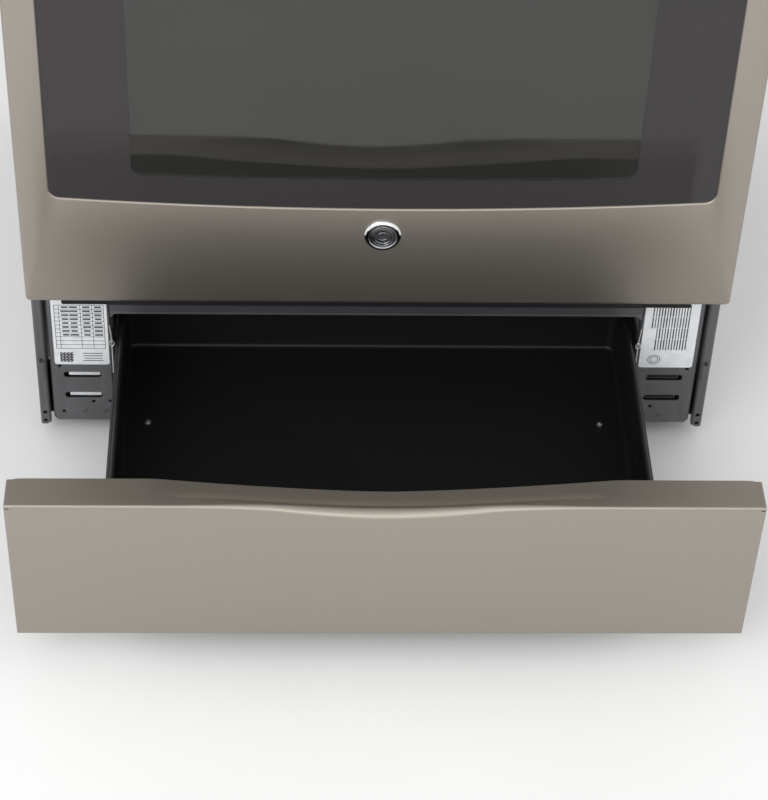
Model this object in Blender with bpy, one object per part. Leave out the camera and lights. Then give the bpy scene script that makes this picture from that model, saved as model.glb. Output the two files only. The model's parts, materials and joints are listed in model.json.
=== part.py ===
"""Freestanding gas range with an oven door and a pull-out storage drawer, shown with the drawer open.

Metres, +Z up, the front of the range faces -Y. Z = 0 is the floor. Depths inside the functions below are
measured back from the front edge of the side panels and turned into Y by depth(); X = 0 is the middle.
"""
import math

import bmesh
import bpy
from mathutils import Matrix, Vector

# Overall sizes
BODY_WIDTH = 0.7568
HALF_WIDTH = BODY_WIDTH / 2
BODY_DEPTH = 0.625
COOKTOP_HEIGHT = 0.918
OVERALL_HEIGHT = COOKTOP_HEIGHT + 0.276
SHEET = 0.0015
GAP = 0.0004
PIERCE = 0.0025
CUT_PAST = 0.010
MELD = 0.0002

# Side panels and the stamped front frame
SIDE_BOTTOM = 0.019
SIDE_TOP = COOKTOP_HEIGHT - 0.021
SIDE_FLANGE = 0.0114
SIDE_RETURN = 0.010
SIDE_REAR_FLANGE = 0.022
LEG_FLANGE = 0.040
LEG_FLANGE_REACH = 0.045
FLANGE_HOLE_HEIGHTS = (0.021, 0.035)
FLANGE_HOLE_RADIUS = 0.0024
PLATE_SETBACK = 0.004
PLATE_OUTER = HALF_WIDTH - SIDE_FLANGE - 0.0035
PLATE_INNER = HALF_WIDTH - 0.0844
PLATE_BOTTOM = 0.022
PLATE_TOP = 0.2455
PLATE_CORNER = 0.006
PLATE_RETURN = 0.016
RETURN_CLEARANCE = 0.006
SLOT_FROM = PLATE_INNER + 0.013
SLOT_LENGTH = 0.042
SLOT_HEIGHT = 0.0088
SLOT_CORNER = 0.0035
SLOT_HEIGHTS = (0.0605, 0.0915)
PLATE_HOLES_LEFT = ((0.0461, 0.0506), (0.0650, 0.0512), (0.0118, 0.0352))
PLATE_HOLES_RIGHT = ((0.0469, 0.0470), (0.0117, 0.0310))
PLATE_HOLE_RADIUS = 0.0022
CROSSBAR_HALF = PLATE_OUTER - 0.0185
CROSSBAR_PROUD = 0.0040
CROSSBAR_TOP = 0.2395
CROSSBAR_STEP = 0.196
CROSSBAR_GROOVE = 0.187
CROSSBAR_BOTTOM = 0.181
CROSSBAR_SLOPE = 0.0015
CROSSBAR_LEDGE = 0.024
GUSSET = 0.006

# Levelling legs
LEG_X = HALF_WIDTH - 0.0264
LEG_DEPTHS = (0.065, BODY_DEPTH - 0.065)
LEG_PAD_RADIUS = 0.019
LEG_PAD_HEIGHT = 0.008
LEG_POST_RADIUS = 0.005
LEG_NUT_RADIUS = 0.010
LEG_NUT_HEIGHT = 0.0065
LEG_TOP = 0.052

# Drawer
DRAWER_FRONT_WIDTH = BODY_WIDTH - 0.0023
DRAWER_BOTTOM = 0.048
DRAWER_TOP = 0.2372
DRAWER_LIP = 0.0385
DRAWER_BOTTOM_LIP = 0.020
DRAWER_SKIN = 0.0014
SCOOP_HALF = 0.232
SCOOP_STEPS = 10
SCOOP_DEPTH = 0.0175
SCOOP_FOLD_DIP = 0.006
SCOOP_FOLD_HALF = 0.175
SCOOP_RAMP = 0.008
SCOOP_SET_IN = 0.005
SCOOP_SWEEP = 0.0124
FOLD_RADIUS = 0.0022
FOLD_RADIUS_MIDDLE = 0.0085
PAN_HALF = PLATE_INNER - 0.0107
PAN_TOP = 0.1586
PAN_BOTTOM = 0.056
PAN_LENGTH = 0.416
DRAWER_TRAVEL = PAN_LENGTH - 0.1178
PAN_SHEET = 0.0012
PAN_HEM = 0.0048
PAN_HEM_HEIGHT = 0.009
PAN_BEHIND_FRONT = 0.020

# Drawer slides
RAIL_THICKNESS = 0.0050
RAIL_BOTTOM = 0.118
RAIL_HEIGHT = 0.022
GUIDE_SHEET = 0.0018
GUIDE_FOOT = 0.014
GUIDE_BOTTOM = 0.098
GUIDE_TOP = 0.150
GUIDE_BACK = BODY_DEPTH - 0.065
ROLLER_RADIUS = 0.009
ROLLER_WIDTH = 0.0042
ROLLER_DEPTH = 0.030
ROLLER_PIN_RADIUS = 0.0025
ROLLER_PAN_GAP = 0.0012

# Oven
OVEN_FLANGE_HALF = HALF_WIDTH - 0.0154
OVEN_FLANGE_BOTTOM = 0.2465
OVEN_FLANGE_TOP = SIDE_TOP - 0.121
OVEN_HALF = OVEN_FLANGE_HALF - 0.058
OVEN_FLOOR = 0.262
OVEN_CEILING = OVEN_FLANGE_TOP - 0.064
OVEN_BACK = BODY_DEPTH - 0.145
OVEN_WALL = 0.0015
OVEN_CORNER = 0.020
LEDGE_WIDTH = 0.010
LEDGE_THICKNESS = 0.005
LEDGE_FRONT = 0.030
LEDGE_BACK = OVEN_BACK - 0.020
LEDGE_HEIGHTS = (0.420, 0.545)
FLOOR_PANEL_HEIGHT = 0.300
FLOOR_PANEL_FOLD = 0.026
FLOOR_PANEL_FRONT = 0.020
FLOOR_PANEL_CLEARANCE = 0.003
FLOOR_SLOTS = 5
FLOOR_SLOT_IN = 0.012
FLOOR_SLOT_LENGTH = 0.038
FLOOR_SLOT_WIDTH = 0.010
BURNER_TUBE_RADIUS = 0.009
BURNER_TUBE_BEND = 0.045
BAKE_BURNER_HALF = 0.150
BAKE_BURNER_FRONT = 0.090
BROIL_BURNER_HALF = 0.110
BROIL_BURNER_FRONT = 0.110
BROIL_CLEARANCE = 0.016
RACK_CLEARANCE = 0.0045
RACK_FRONT = 0.036
RACK_BACK = OVEN_BACK - 0.028
RACK_ROD = 0.0055
RACK_WIRE = 0.0036
RACK_RODS = 9

# Door
DOOR_WIDTH = BODY_WIDTH - 2 * GAP
DOOR_PROUD = 0.0447
DOOR_BOTTOM = 0.2415
DOOR_TOP = SIDE_TOP - 0.125
DOOR_SKIN_SHEET = 0.0013
DOOR_SKIN_BACK = 0.0120
DOOR_LINER_DEPTH = 0.006
DOOR_EDGE_RADIUS = 0.006
DOOR_CORNER = 0.005
LINER_BELOW = 0.004
LINER_RIM = 0.018
GLASS_HALF = DOOR_WIDTH / 2 - 0.034
GLASS_BOTTOM = 0.384
GLASS_SAG = 0.0116
GLASS_TOP = DOOR_TOP - 0.082
GLASS_RISE = 0.006
GLASS_LAP = 0.010
GLASS_CORNER = 0.011
GLASS_THICKNESS = 0.004
INNER_GLASS_HALF = OVEN_HALF - 0.060
INNER_GLASS_BOTTOM = 0.405
INNER_GLASS_TOP = GLASS_TOP - 0.050
HINGE_DEPTH = 0.030
HINGE_HEIGHT = 0.2575
HINGE_PIN_RADIUS = 0.004
HINGE_EAR_X = OVEN_FLANGE_HALF - 0.021
HINGE_EAR_THICKNESS = 0.005
EAR_NOTCH_INNER = 0.004
EAR_NOTCH_OUTER = 0.003
EAR_NOTCH_FRONT = 0.0105
EAR_NOTCH_LINER = 0.024
HINGE_LEAF_SHEET = 0.003
HINGE_LEAF_LENGTH = 0.150
HANDLE_HEIGHT = DOOR_TOP - 0.039
HANDLE_HALF = GLASS_HALF + 0.001
HANDLE_STANDOFF = 0.040
HANDLE_RADIUS = 0.0115
HANDLE_BOW = 0.004
HANDLE_POST_HALF = 0.013
HANDLE_POST_X = HANDLE_HALF - 0.023
BADGE_HEIGHT = 0.3380
BADGE_RADIUS = 0.0195
BADGE_THICKNESS = 0.0035

# Cooktop, burners and grates
COOKTOP_OVERHANG = 0.030
COOKTOP_BACK = BODY_DEPTH - 0.067
COOKTOP_SKIRT = 0.020
COOKTOP_RIM = 0.018
COOKTOP_RECESS = 0.006
COOKTOP_SHEET = 0.002
COOKTOP_CORNER = 0.006
BURNER_X = HALF_WIDTH - 0.1304
BURNER_FRONT = 0.125
BURNER_REAR = COOKTOP_BACK - 0.168
BURNERS = (
    (-BURNER_X, BURNER_FRONT, 0.044),
    (BURNER_X, BURNER_FRONT, 0.050),
    (-BURNER_X, BURNER_REAR, 0.038),
    (BURNER_X, BURNER_REAR, 0.034),
)
BURNER_HEIGHT = 0.013
CAP_THICKNESS = 0.006
OVAL_RADIUS = 0.026
OVAL_HALF = 0.085
OVAL_DEPTH = (BURNER_FRONT + BURNER_REAR) / 2
GRATE_FRONT = 0.004
GRATE_BACK = COOKTOP_BACK - 0.032
GRATE_SIDE_HALF = HALF_WIDTH - 0.0249
GRATE_SPLIT = 0.1175
GRATE_BAR = 0.011
GRATE_BAR_HEIGHT = 0.012
GRATE_CLEARANCE = 0.022
GRATE_FINGER = 0.0092
GRATE_FOOT = 0.014
GRATE_LAP = 0.002
OVAL_SPOT = 0.09175

# Control panel and knobs
PANEL_BOTTOM = DOOR_TOP + 0.009
PANEL_TOP = SIDE_TOP - 0.0005
PANEL_PROUD_BOTTOM = 0.0445
PANEL_PROUD_TOP = 0.0270
PANEL_RETURN = 0.0008
KNOB_XS = (-0.270, -0.155, 0.0, 0.155, 0.270)
KNOB_HEIGHT = PANEL_BOTTOM + 0.059
KNOB_RADIUS = 0.023
KNOB_SKIRT_THICKNESS = 0.007
KNOB_THICKNESS = 0.028
KNOB_GRIP = 0.0104
KNOB_STANDOFF = 0.0055
KNOB_BORE_DEPTH = 0.020
STEM_RADIUS = 0.004
STEM_CLEARANCE = 0.0004
STEM_BEHIND = 0.034
VALVE_SIZE = 0.024
VALVE_LENGTH = 0.030
VALVE_BORE_DEPTH = 0.020
VALVE_DEPTH = 0.030
MANIFOLD_SIZE = 0.020
MANIFOLD_HALF = HALF_WIDTH - 0.0584

# Backguard
GUARD_DEPTH = 0.0640
GUARD_LEAN = 0.016
CONTROL_GLASS_HALF = 0.265
CONTROL_GLASS_FROM = 0.075
CONTROL_GLASS_TO = 0.225
CONTROL_GLASS_THICKNESS = 0.004
REAR_PANEL_BOTTOM = 0.030
GAS_OPENING = (0.160, 0.300, 0.060, 0.150)
GAS_OPENING_CORNER = 0.012

# The drawer stands open, so the middle of the whole box lies in front of the middle of the body
DRAWER_CLOSED_FRONT = -DOOR_PROUD
DRAWER_OPEN_FRONT = DRAWER_CLOSED_FRONT - DRAWER_TRAVEL
FRONT_EDGE_Y = -(DRAWER_OPEN_FRONT + BODY_DEPTH) / 2
PANEL_TILT = math.atan2(PANEL_PROUD_BOTTOM - PANEL_PROUD_TOP, PANEL_TOP - PANEL_BOTTOM)
ROLLER_HEIGHT = RAIL_BOTTOM - GAP - ROLLER_RADIUS
GUARD_BACK = BODY_DEPTH - SHEET - GAP
GUARD_FOOT = COOKTOP_HEIGHT - COOKTOP_SKIRT
GUARD_FRONT_FOOT = GUARD_FOOT + COOKTOP_SHEET * 2
RECESS_HEIGHT = COOKTOP_HEIGHT - COOKTOP_RECESS


def depth(back):
    """Y of a point that lies this far behind the front edge of the side panels."""
    return FRONT_EDGE_Y + back


# ---------------------------------------------------------------------------------------------------------
# Materials
# ---------------------------------------------------------------------------------------------------------
FINISHES = {
    "slate_steel": ((0.235, 0.205, 0.170), 0.38, 1.0),
    "grey_paint": ((0.075, 0.077, 0.082), 0.50, 0.0),
    "dark_paint": ((0.035, 0.036, 0.040), 0.50, 0.0),
    "black_enamel": ((0.010, 0.010, 0.010), 0.15, 0.0),
    "zinc": ((0.55, 0.55, 0.55), 0.35, 1.0),
    "glass": ((0.015, 0.014, 0.014), 0.05, 0.0),
    "cast_iron": ((0.020, 0.020, 0.020), 0.65, 0.2),
    "aluminium": ((0.60, 0.60, 0.60), 0.40, 1.0),
    "chrome": ((0.75, 0.75, 0.76), 0.12, 1.0),
    "brass": ((0.60, 0.45, 0.20), 0.35, 1.0),
    "nylon": ((0.70, 0.70, 0.66), 0.50, 0.0),
    "black_plastic": ((0.020, 0.020, 0.020), 0.45, 0.0),
}


def finish(name):
    """The Principled material of that name."""
    material = bpy.data.materials.get(name)
    if material is None:
        colour, roughness, metallic = FINISHES[name]
        material = bpy.data.materials.new(name)
        material.use_nodes = True
        shader = material.node_tree.nodes["Principled BSDF"]
        shader.inputs["Base Color"].default_value = (*colour, 1.0)
        shader.inputs["Roughness"].default_value = roughness
        shader.inputs["Metallic"].default_value = metallic
    return material


# ---------------------------------------------------------------------------------------------------------
# Shapes
# ---------------------------------------------------------------------------------------------------------
def add_mesh(name, points, faces, finish_name):
    """A closed mesh object in world coordinates, its faces turned outwards."""
    shape = bmesh.new()
    corners = [shape.verts.new(point) for point in points]
    for face in faces:
        shape.faces.new([corners[index] for index in face])
    bmesh.ops.recalc_face_normals(shape, faces=shape.faces)
    mesh = bpy.data.meshes.new(name)
    shape.to_mesh(mesh)
    shape.free()
    piece = bpy.data.objects.new(name, mesh)
    bpy.context.scene.collection.objects.link(piece)
    mesh.materials.append(finish(finish_name))
    return piece


def joined_rings(rings):
    """Points and faces of the closed tube through rings of equal length, with flat ends."""
    count = len(rings[0])
    points = [point for ring in rings for point in ring]
    faces = [tuple(range(count)), tuple(range((len(rings) - 1) * count, len(rings) * count))]
    for start in range(0, (len(rings) - 1) * count, count):
        for index in range(count):
            after = (index + 1) % count
            faces.append((start + index, start + after, start + count + after, start + count + index))
    return points, faces


def prism(name, outline, axis, low, high, finish_name):
    """The outline extruded along an axis. It holds (depth, height), (x, height) or (x, depth) pairs."""
    place = {
        "X": lambda a, b, along: (along, depth(a), b),
        "Y": lambda a, b, along: (a, depth(along), b),
        "Z": lambda a, b, along: (a, depth(b), along),
    }[axis]
    rings = [[place(a, b, along) for a, b in outline] for along in (low, high)]
    return add_mesh(name, *joined_rings(rings), finish_name)


def block(name, xs, depths, heights, finish_name):
    """A box between two X, two depths and two heights."""
    corners = [(xs[0], heights[0]), (xs[1], heights[0]), (xs[1], heights[1]), (xs[0], heights[1])]
    return prism(name, corners, "Y", *depths, finish_name)


def circle(radius, count, centre=(0.0, 0.0)):
    turns = (2 * math.pi * index / count for index in range(count))
    return [(centre[0] + radius * math.cos(turn), centre[1] + radius * math.sin(turn)) for turn in turns]


def rounded_corners(corners, radius, steps=3):
    """The outline with each corner replaced by an arc."""
    outline = []
    for index, corner in enumerate(corners):
        corner = Vector(corner)
        before = (Vector(corners[index - 1]) - corner).normalized()
        after = (Vector(corners[(index + 1) % len(corners)]) - corner).normalized()
        half = before.angle(after) / 2
        centre = corner + (before + after).normalized() * (radius / math.sin(half))
        start = corner + before * (radius / math.tan(half)) - centre
        end = corner + after * (radius / math.tan(half)) - centre
        turn = start.angle_signed(end)
        for step in range(steps + 1):
            outline.append(tuple(centre + Matrix.Rotation(-turn * step / steps, 2) @ start))
    return outline


def folded(path, thickness):
    """The outline of sheet folded along a path, with the thickness laid to the left of the path."""
    points = [Vector(point) for point in path]
    offset = []
    for index, point in enumerate(points):
        sides = []
        for a, b in ((index - 1, index), (index, index + 1)):
            if a >= 0 and b < len(points):
                along = (points[b] - points[a]).normalized()
                sides.append(Vector((-along.y, along.x)))
        side = sum(sides, Vector((0, 0))).normalized()
        offset.append(point + side * (thickness / side.dot(sides[0])))
    return [tuple(point) for point in points + offset[::-1]]


def turned(name, profile, count, finish_name):
    """A solid turned about Z from a profile of (radius, height) that starts and ends on the axis."""
    points = [(0.0, 0.0, profile[0][1])]
    for radius, height in profile[1:-1]:
        points += [(x, y, height) for x, y in circle(radius, count)]
    points.append((0.0, 0.0, profile[-1][1]))
    last = len(points) - 1
    faces = []
    for index in range(count):
        after = (index + 1) % count
        faces.append((0, 1 + index, 1 + after))
        faces.append((last, last - count + after, last - count + index))
        for ring in range(len(profile) - 3):
            start = 1 + ring * count
            faces.append((start + index, start + count + index, start + count + after, start + after))
    return add_mesh(name, points, faces, finish_name)


def tube(name, route, radius, sides, finish_name):
    """A bent tube along a route of (x, depth, height) points, with closed ends."""
    curve = bpy.data.curves.new(name, "CURVE")
    curve.dimensions = "3D"
    curve.bevel_depth = radius
    curve.bevel_resolution = sides
    curve.use_fill_caps = True
    spline = curve.splines.new("POLY")
    spline.points.add(len(route) - 1)
    for point, (x, back, height) in zip(spline.points, route):
        point.co = (x, depth(back), height, 1.0)
    piece = bpy.data.objects.new(name, curve)
    bpy.context.scene.collection.objects.link(piece)
    curve.materials.append(finish(finish_name))
    return piece


def combine(piece, tools, operation):
    """The piece with the tools joined to it (UNION) or cut from it (DIFFERENCE). The tools are used up."""
    for tool in tools:
        modifier = piece.modifiers.new(operation, "BOOLEAN")
        modifier.operation = operation
        modifier.solver = "EXACT"
        modifier.object = tool
    graph = bpy.context.evaluated_depsgraph_get()
    mesh = bpy.data.meshes.new_from_object(piece.evaluated_get(graph))
    piece.modifiers.clear()
    piece.data = mesh
    for tool in tools:
        bpy.data.objects.remove(tool)
    return piece


def joined(piece, *tools):
    return combine(piece, tools, "UNION")


def cut(piece, *tools):
    return combine(piece, tools, "DIFFERENCE")


def moved(piece, matrix):
    """The piece with its mesh turned and shifted."""
    piece.data.transform(matrix)
    return piece


def pivot(name, place):
    """An empty on a joint's axis, which the pieces of a moving body hang from."""
    empty = bpy.data.objects.new(name, None)
    empty.location = place
    bpy.context.scene.collection.objects.link(empty)
    return empty


def hang(empty, pieces):
    """Parents pieces to a pivot, with their origins on it and their shapes where they were."""
    for piece in pieces:
        piece.data.transform(Matrix.Translation(-Vector(empty.location)))
        piece.parent = empty


def panel_frame(x, height, out=0.0):
    """The matrix that puts +Z along a knob's axis, out of the sloped panel, at a point on its face."""
    share = (height - PANEL_BOTTOM) / (PANEL_TOP - PANEL_BOTTOM)
    back = -(PANEL_PROUD_BOTTOM + (PANEL_PROUD_TOP - PANEL_PROUD_BOTTOM) * share)
    turn = Matrix.Rotation(math.pi / 2 - PANEL_TILT, 4, "X")
    return Matrix.Translation((x, depth(back), height)) @ turn @ Matrix.Translation((0, 0, out))


SIDES = (("left", -1), ("right", 1))


# ---------------------------------------------------------------------------------------------------------
# Body
# ---------------------------------------------------------------------------------------------------------
def side_panel(side, sign):
    """Folded side with a front flange and its return, a rear flange and two bottom flanges for the legs."""
    flange = HALF_WIDTH - SIDE_FLANGE
    path = [
        (sign * flange, SIDE_RETURN),
        (sign * flange, 0.0),
        (sign * HALF_WIDTH, 0.0),
        (sign * HALF_WIDTH, GUARD_BACK),
        (sign * (HALF_WIDTH - SIDE_REAR_FLANGE), GUARD_BACK),
    ]
    outline = folded(path, SHEET if sign > 0 else -SHEET)
    panel = prism("side_panel_" + side, outline, "Z", SIDE_BOTTOM, SIDE_TOP, "grey_paint")
    across = (sign * (HALF_WIDTH - LEG_FLANGE), sign * (HALF_WIDTH - SHEET / 2))
    heights = (SIDE_BOTTOM, SIDE_BOTTOM + SHEET)
    for back in LEG_DEPTHS:
        along = (back - LEG_FLANGE_REACH, back + LEG_FLANGE_REACH)
        joined(panel, block("flange", across, along, heights, "grey_paint"))
    hole_x = sign * (HALF_WIDTH - SIDE_FLANGE / 2)
    holes = []
    for height in FLANGE_HOLE_HEIGHTS:
        hole = circle(FLANGE_HOLE_RADIUS, 10, (hole_x, height))
        holes.append(prism("hole", hole, "Y", -PIERCE, SHEET + PIERCE, "grey_paint"))
    through = (SIDE_BOTTOM - PIERCE, SIDE_BOTTOM + SHEET + PIERCE)
    for back in LEG_DEPTHS:
        bore = circle(LEG_POST_RADIUS + GAP, 12, (sign * LEG_X, back))
        holes.append(prism("hole", bore, "Z", *through, "grey_paint"))
    return cut(panel, *holes)


def front_plate(side, sign, holes):
    """Stamped plate beside the drawer, with two lanced slots, screw holes and a return along the drawer."""
    corners = [
        (PLATE_INNER, PLATE_BOTTOM),
        (PLATE_OUTER - PLATE_CORNER, PLATE_BOTTOM),
        (PLATE_OUTER, PLATE_BOTTOM + PLATE_CORNER),
        (PLATE_OUTER, PLATE_TOP),
        (PLATE_INNER, PLATE_TOP),
    ]
    outline = [(sign * x, z) for x, z in corners]
    front, back = PLATE_SETBACK, PLATE_SETBACK + SHEET
    plate = prism("front_plate_" + side, outline, "Y", front, back, "grey_paint")
    inner = (sign * PLATE_INNER, sign * (PLATE_INNER + SHEET))
    outer = (sign * (PLATE_OUTER - SHEET), sign * PLATE_OUTER)
    fold = (front + SHEET / 2, front + PLATE_RETURN)
    over_guide = (GUIDE_TOP + RETURN_CLEARANCE, PLATE_TOP)
    over_corner = (PLATE_BOTTOM + PLATE_CORNER + SHEET, PLATE_TOP)
    joined(
        plate,
        block("return", inner, fold, over_guide, "grey_paint"),
        block("return", outer, fold, over_corner, "grey_paint"),
    )
    through = (front - PIERCE, back + PIERCE)
    cutters = []
    for inset, height in holes:
        hole = circle(PLATE_HOLE_RADIUS, 10, (sign * (PLATE_OUTER - inset), height))
        cutters.append(prism("hole", hole, "Y", *through, "grey_paint"))
    half = SLOT_HEIGHT / 2
    near, far = SLOT_FROM, SLOT_FROM + SLOT_LENGTH
    for height in SLOT_HEIGHTS:
        corners = [(near, height - half), (far, height - half), (far, height + half), (near, height + half)]
        slot = rounded_corners(corners, SLOT_CORNER)
        cutters.append(prism("slot", [(sign * x, z) for x, z in slot], "Y", *through, "grey_paint"))
    return cut(plate, *cutters)


def lower_crossbar():
    """Folded bar between the drawer and the door, stepped back twice to its ledge, with gusseted ends."""
    inside = PLATE_INNER - GAP
    low_face = PLATE_SETBACK - GAP
    path = [
        (CROSSBAR_LEDGE, CROSSBAR_TOP),
        (-CROSSBAR_PROUD, CROSSBAR_TOP),
        (-CROSSBAR_PROUD, CROSSBAR_STEP),
        (0.0, CROSSBAR_STEP - CROSSBAR_SLOPE),
        (0.0, CROSSBAR_GROOVE + CROSSBAR_SLOPE),
        (low_face, CROSSBAR_GROOVE),
        (low_face, CROSSBAR_BOTTOM),
        (CROSSBAR_LEDGE, CROSSBAR_BOTTOM),
    ]
    bar = prism("lower_crossbar", folded(path, SHEET), "X", -inside, inside, "dark_paint")
    parts = []
    root = CROSSBAR_BOTTOM + SHEET
    for _, sign in SIDES:
        reach = (sign * (inside - CUT_PAST), sign * CROSSBAR_HALF)
        heights = (CROSSBAR_STEP + MELD, CROSSBAR_TOP - MELD)
        parts.append(block("end", reach, (MELD - CROSSBAR_PROUD, PLATE_SETBACK - GAP), heights, "dark_paint"))
        corner = [(inside, root + SHEET), (inside, root - GUSSET), (inside - GUSSET - SHEET, root + SHEET)]
        gusset = [(sign * x, z) for x, z in corner]
        parts.append(prism("gusset", gusset, "Y", low_face + MELD, low_face + SHEET, "dark_paint"))
    return joined(bar, *parts)


def rear_panel():
    """Flat back with the opening that the gas line comes through."""
    xs = (-HALF_WIDTH, HALF_WIDTH)
    panel = block("rear_panel", xs, (BODY_DEPTH - SHEET, BODY_DEPTH), (REAR_PANEL_BOTTOM, SIDE_TOP), "zinc")
    left, right, low, high = GAS_OPENING
    corners = [(left, low), (right, low), (right, high), (left, high)]
    outline = rounded_corners(corners, GAS_OPENING_CORNER)
    opening = prism("opening", outline, "Y", BODY_DEPTH - CUT_PAST, BODY_DEPTH + CUT_PAST, "zinc")
    return cut(panel, opening)


def oven_liner():
    """Oven box open to the front, with its front flange, the racks' ledges and the ears for the hinges."""
    flange = block(
        "oven_liner",
        (-OVEN_FLANGE_HALF, OVEN_FLANGE_HALF),
        (GAP, SHEET + GAP),
        (OVEN_FLANGE_BOTTOM, OVEN_FLANGE_TOP),
        "black_enamel",
    )
    half = OVEN_HALF + OVEN_WALL
    heights = (OVEN_FLOOR - OVEN_WALL, OVEN_CEILING + OVEN_WALL)
    box = block("box", (-half, half), (SHEET, OVEN_BACK + OVEN_WALL), heights, "black_enamel")
    joined(flange, box)
    corners = [
        (-OVEN_HALF, OVEN_FLOOR),
        (OVEN_HALF, OVEN_FLOOR),
        (OVEN_HALF, OVEN_CEILING),
        (-OVEN_HALF, OVEN_CEILING),
    ]
    cavity = prism("cavity", rounded_corners(corners, OVEN_CORNER), "Y", -CUT_PAST, OVEN_BACK, "black_enamel")
    cut(flange, cavity)
    parts = []
    for _, sign in SIDES:
        for height in LEDGE_HEIGHTS:
            xs = (sign * (OVEN_HALF - LEDGE_WIDTH), sign * (OVEN_HALF + OVEN_WALL / 2))
            heights = (height - LEDGE_THICKNESS, height)
            parts.append(block("ledge", xs, (LEDGE_FRONT, LEDGE_BACK), heights, "black_enamel"))
        nose, cheek = HINGE_PIN_RADIUS + 0.0005, HINGE_PIN_RADIUS + 0.0045
        ear = [
            (SHEET, HINGE_HEIGHT - 0.007),
            (SHEET, HINGE_HEIGHT + 0.014),
            (-HINGE_DEPTH + nose / 2, HINGE_HEIGHT + cheek),
            (-HINGE_DEPTH - cheek + 0.001, HINGE_HEIGHT + nose),
            (-HINGE_DEPTH - cheek + 0.001, HINGE_HEIGHT - nose),
            (-HINGE_DEPTH + nose / 2, HINGE_HEIGHT - cheek),
        ]
        xs = (sign * HINGE_EAR_X, sign * (HINGE_EAR_X + HINGE_EAR_THICKNESS))
        parts.append(prism("ear", ear, "X", *xs, "black_enamel"))
    joined(flange, *parts)
    bores = []
    for _, sign in SIDES:
        bore = circle(HINGE_PIN_RADIUS + GAP, 16, (-HINGE_DEPTH, HINGE_HEIGHT))
        xs = (sign * (HINGE_EAR_X - PIERCE), sign * (HINGE_EAR_X + HINGE_EAR_THICKNESS + PIERCE))
        bores.append(prism("bore", bore, "X", *xs, "black_enamel"))
    return cut(flange, *bores)


def oven_floor_panel():
    """Slotted oven bottom over the bake burner, folded down along its front edge."""
    half = OVEN_HALF - FLOOR_PANEL_CLEARANCE
    front, back = FLOOR_PANEL_FRONT, OVEN_BACK - 4 * FLOOR_PANEL_CLEARANCE
    fold = FLOOR_PANEL_HEIGHT - FLOOR_PANEL_FOLD
    path = [(front, fold), (front, FLOOR_PANEL_HEIGHT), (back, FLOOR_PANEL_HEIGHT), (back, fold)]
    panel = prism("oven_floor_panel", folded(path, -SHEET), "X", -half, half, "black_enamel")
    slots = []
    heights = (FLOOR_PANEL_HEIGHT - SHEET - PIERCE, FLOOR_PANEL_HEIGHT + PIERCE)
    pitch = (back - front) / (FLOOR_SLOTS + 1)
    for _, sign in SIDES:
        xs = (sign * (half - FLOOR_SLOT_IN - FLOOR_SLOT_LENGTH), sign * (half - FLOOR_SLOT_IN))
        for row in range(1, FLOOR_SLOTS + 1):
            start = front + pitch * row
            slots.append(block("slot", xs, (start, start + FLOOR_SLOT_WIDTH), heights, "black_enamel"))
    return cut(panel, *slots)


def oven_burner(name, height, half, front, back):
    """A burner tube bent into a long U, its two ends at the back wall of the oven."""
    bend = BURNER_TUBE_BEND
    route = [(-half, back, height)]
    arc = [math.pi / 2 * step / 6 for step in range(7)]
    corner = [(half - bend * (1 - math.cos(turn)), front + bend * (1 - math.sin(turn))) for turn in arc]
    route += [(-x, back, height) for x, back in corner]
    route += [(x, back, height) for x, back in reversed(corner)]
    route.append((half, back, height))
    return tube(name, route, BURNER_TUBE_RADIUS, 2, "aluminium")


def oven_rack(name, ledge):
    """Wire rack: two side rods on the ledges, cross bars under them and a comb of long rods."""
    size = RACK_ROD
    half = OVEN_HALF - RACK_CLEARANCE
    low = ledge + GAP
    depths, heights = (RACK_FRONT, RACK_BACK), (low, low + size)
    rack = block(name, (-half, size - half), depths, heights, "chrome")
    parts = [block("side", (half - size, half), depths, heights, "chrome")]
    across = (MELD * 2 - half, half - MELD * 2)
    thinner = (low + size * 0.2, low + size * 0.8)
    for back in (RACK_FRONT, (RACK_FRONT + RACK_BACK) / 2, RACK_BACK - size):
        parts.append(block("cross", across, (back + MELD * 2, back + size - MELD * 4), thinner, "chrome"))
    inner = half - RACK_ROD * 5
    wire = RACK_WIRE / 2
    for index in range(RACK_RODS):
        x = inner * (2 * index / (RACK_RODS - 1) - 1)
        along = (RACK_FRONT + wire, RACK_BACK - wire)
        parts.append(block("wire", (x - wire, x + wire), along, (low + wire, low + size - MELD), "chrome"))
    return joined(rack, *parts)


# ---------------------------------------------------------------------------------------------------------
# Cooktop
# ---------------------------------------------------------------------------------------------------------
def cooktop():
    """Pressed top with a raised rim round a recess, hollow underneath."""
    front, back = -COOKTOP_OVERHANG, COOKTOP_BACK
    low = COOKTOP_HEIGHT - COOKTOP_SKIRT
    corners = [(-HALF_WIDTH, front), (HALF_WIDTH, front), (HALF_WIDTH, back), (-HALF_WIDTH, back)]
    outline = rounded_corners(corners, COOKTOP_CORNER)
    top = prism("cooktop", outline, "Z", low, COOKTOP_HEIGHT, "black_enamel")
    rim = COOKTOP_RIM
    inner = [
        (-HALF_WIDTH + rim, front + rim),
        (HALF_WIDTH - rim, front + rim),
        (HALF_WIDTH - rim, back - rim),
        (-HALF_WIDTH + rim, back - rim),
    ]
    outline = rounded_corners(inner, COOKTOP_RIM)
    recess = prism("recess", outline, "Z", RECESS_HEIGHT, COOKTOP_HEIGHT + CUT_PAST, "black_enamel")
    sheet = COOKTOP_SHEET
    under = block(
        "under",
        (-HALF_WIDTH + sheet, HALF_WIDTH - sheet),
        (front + sheet, back - sheet),
        (low - CUT_PAST, RECESS_HEIGHT - sheet),
        "black_enamel",
    )
    return cut(top, recess, under)


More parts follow.
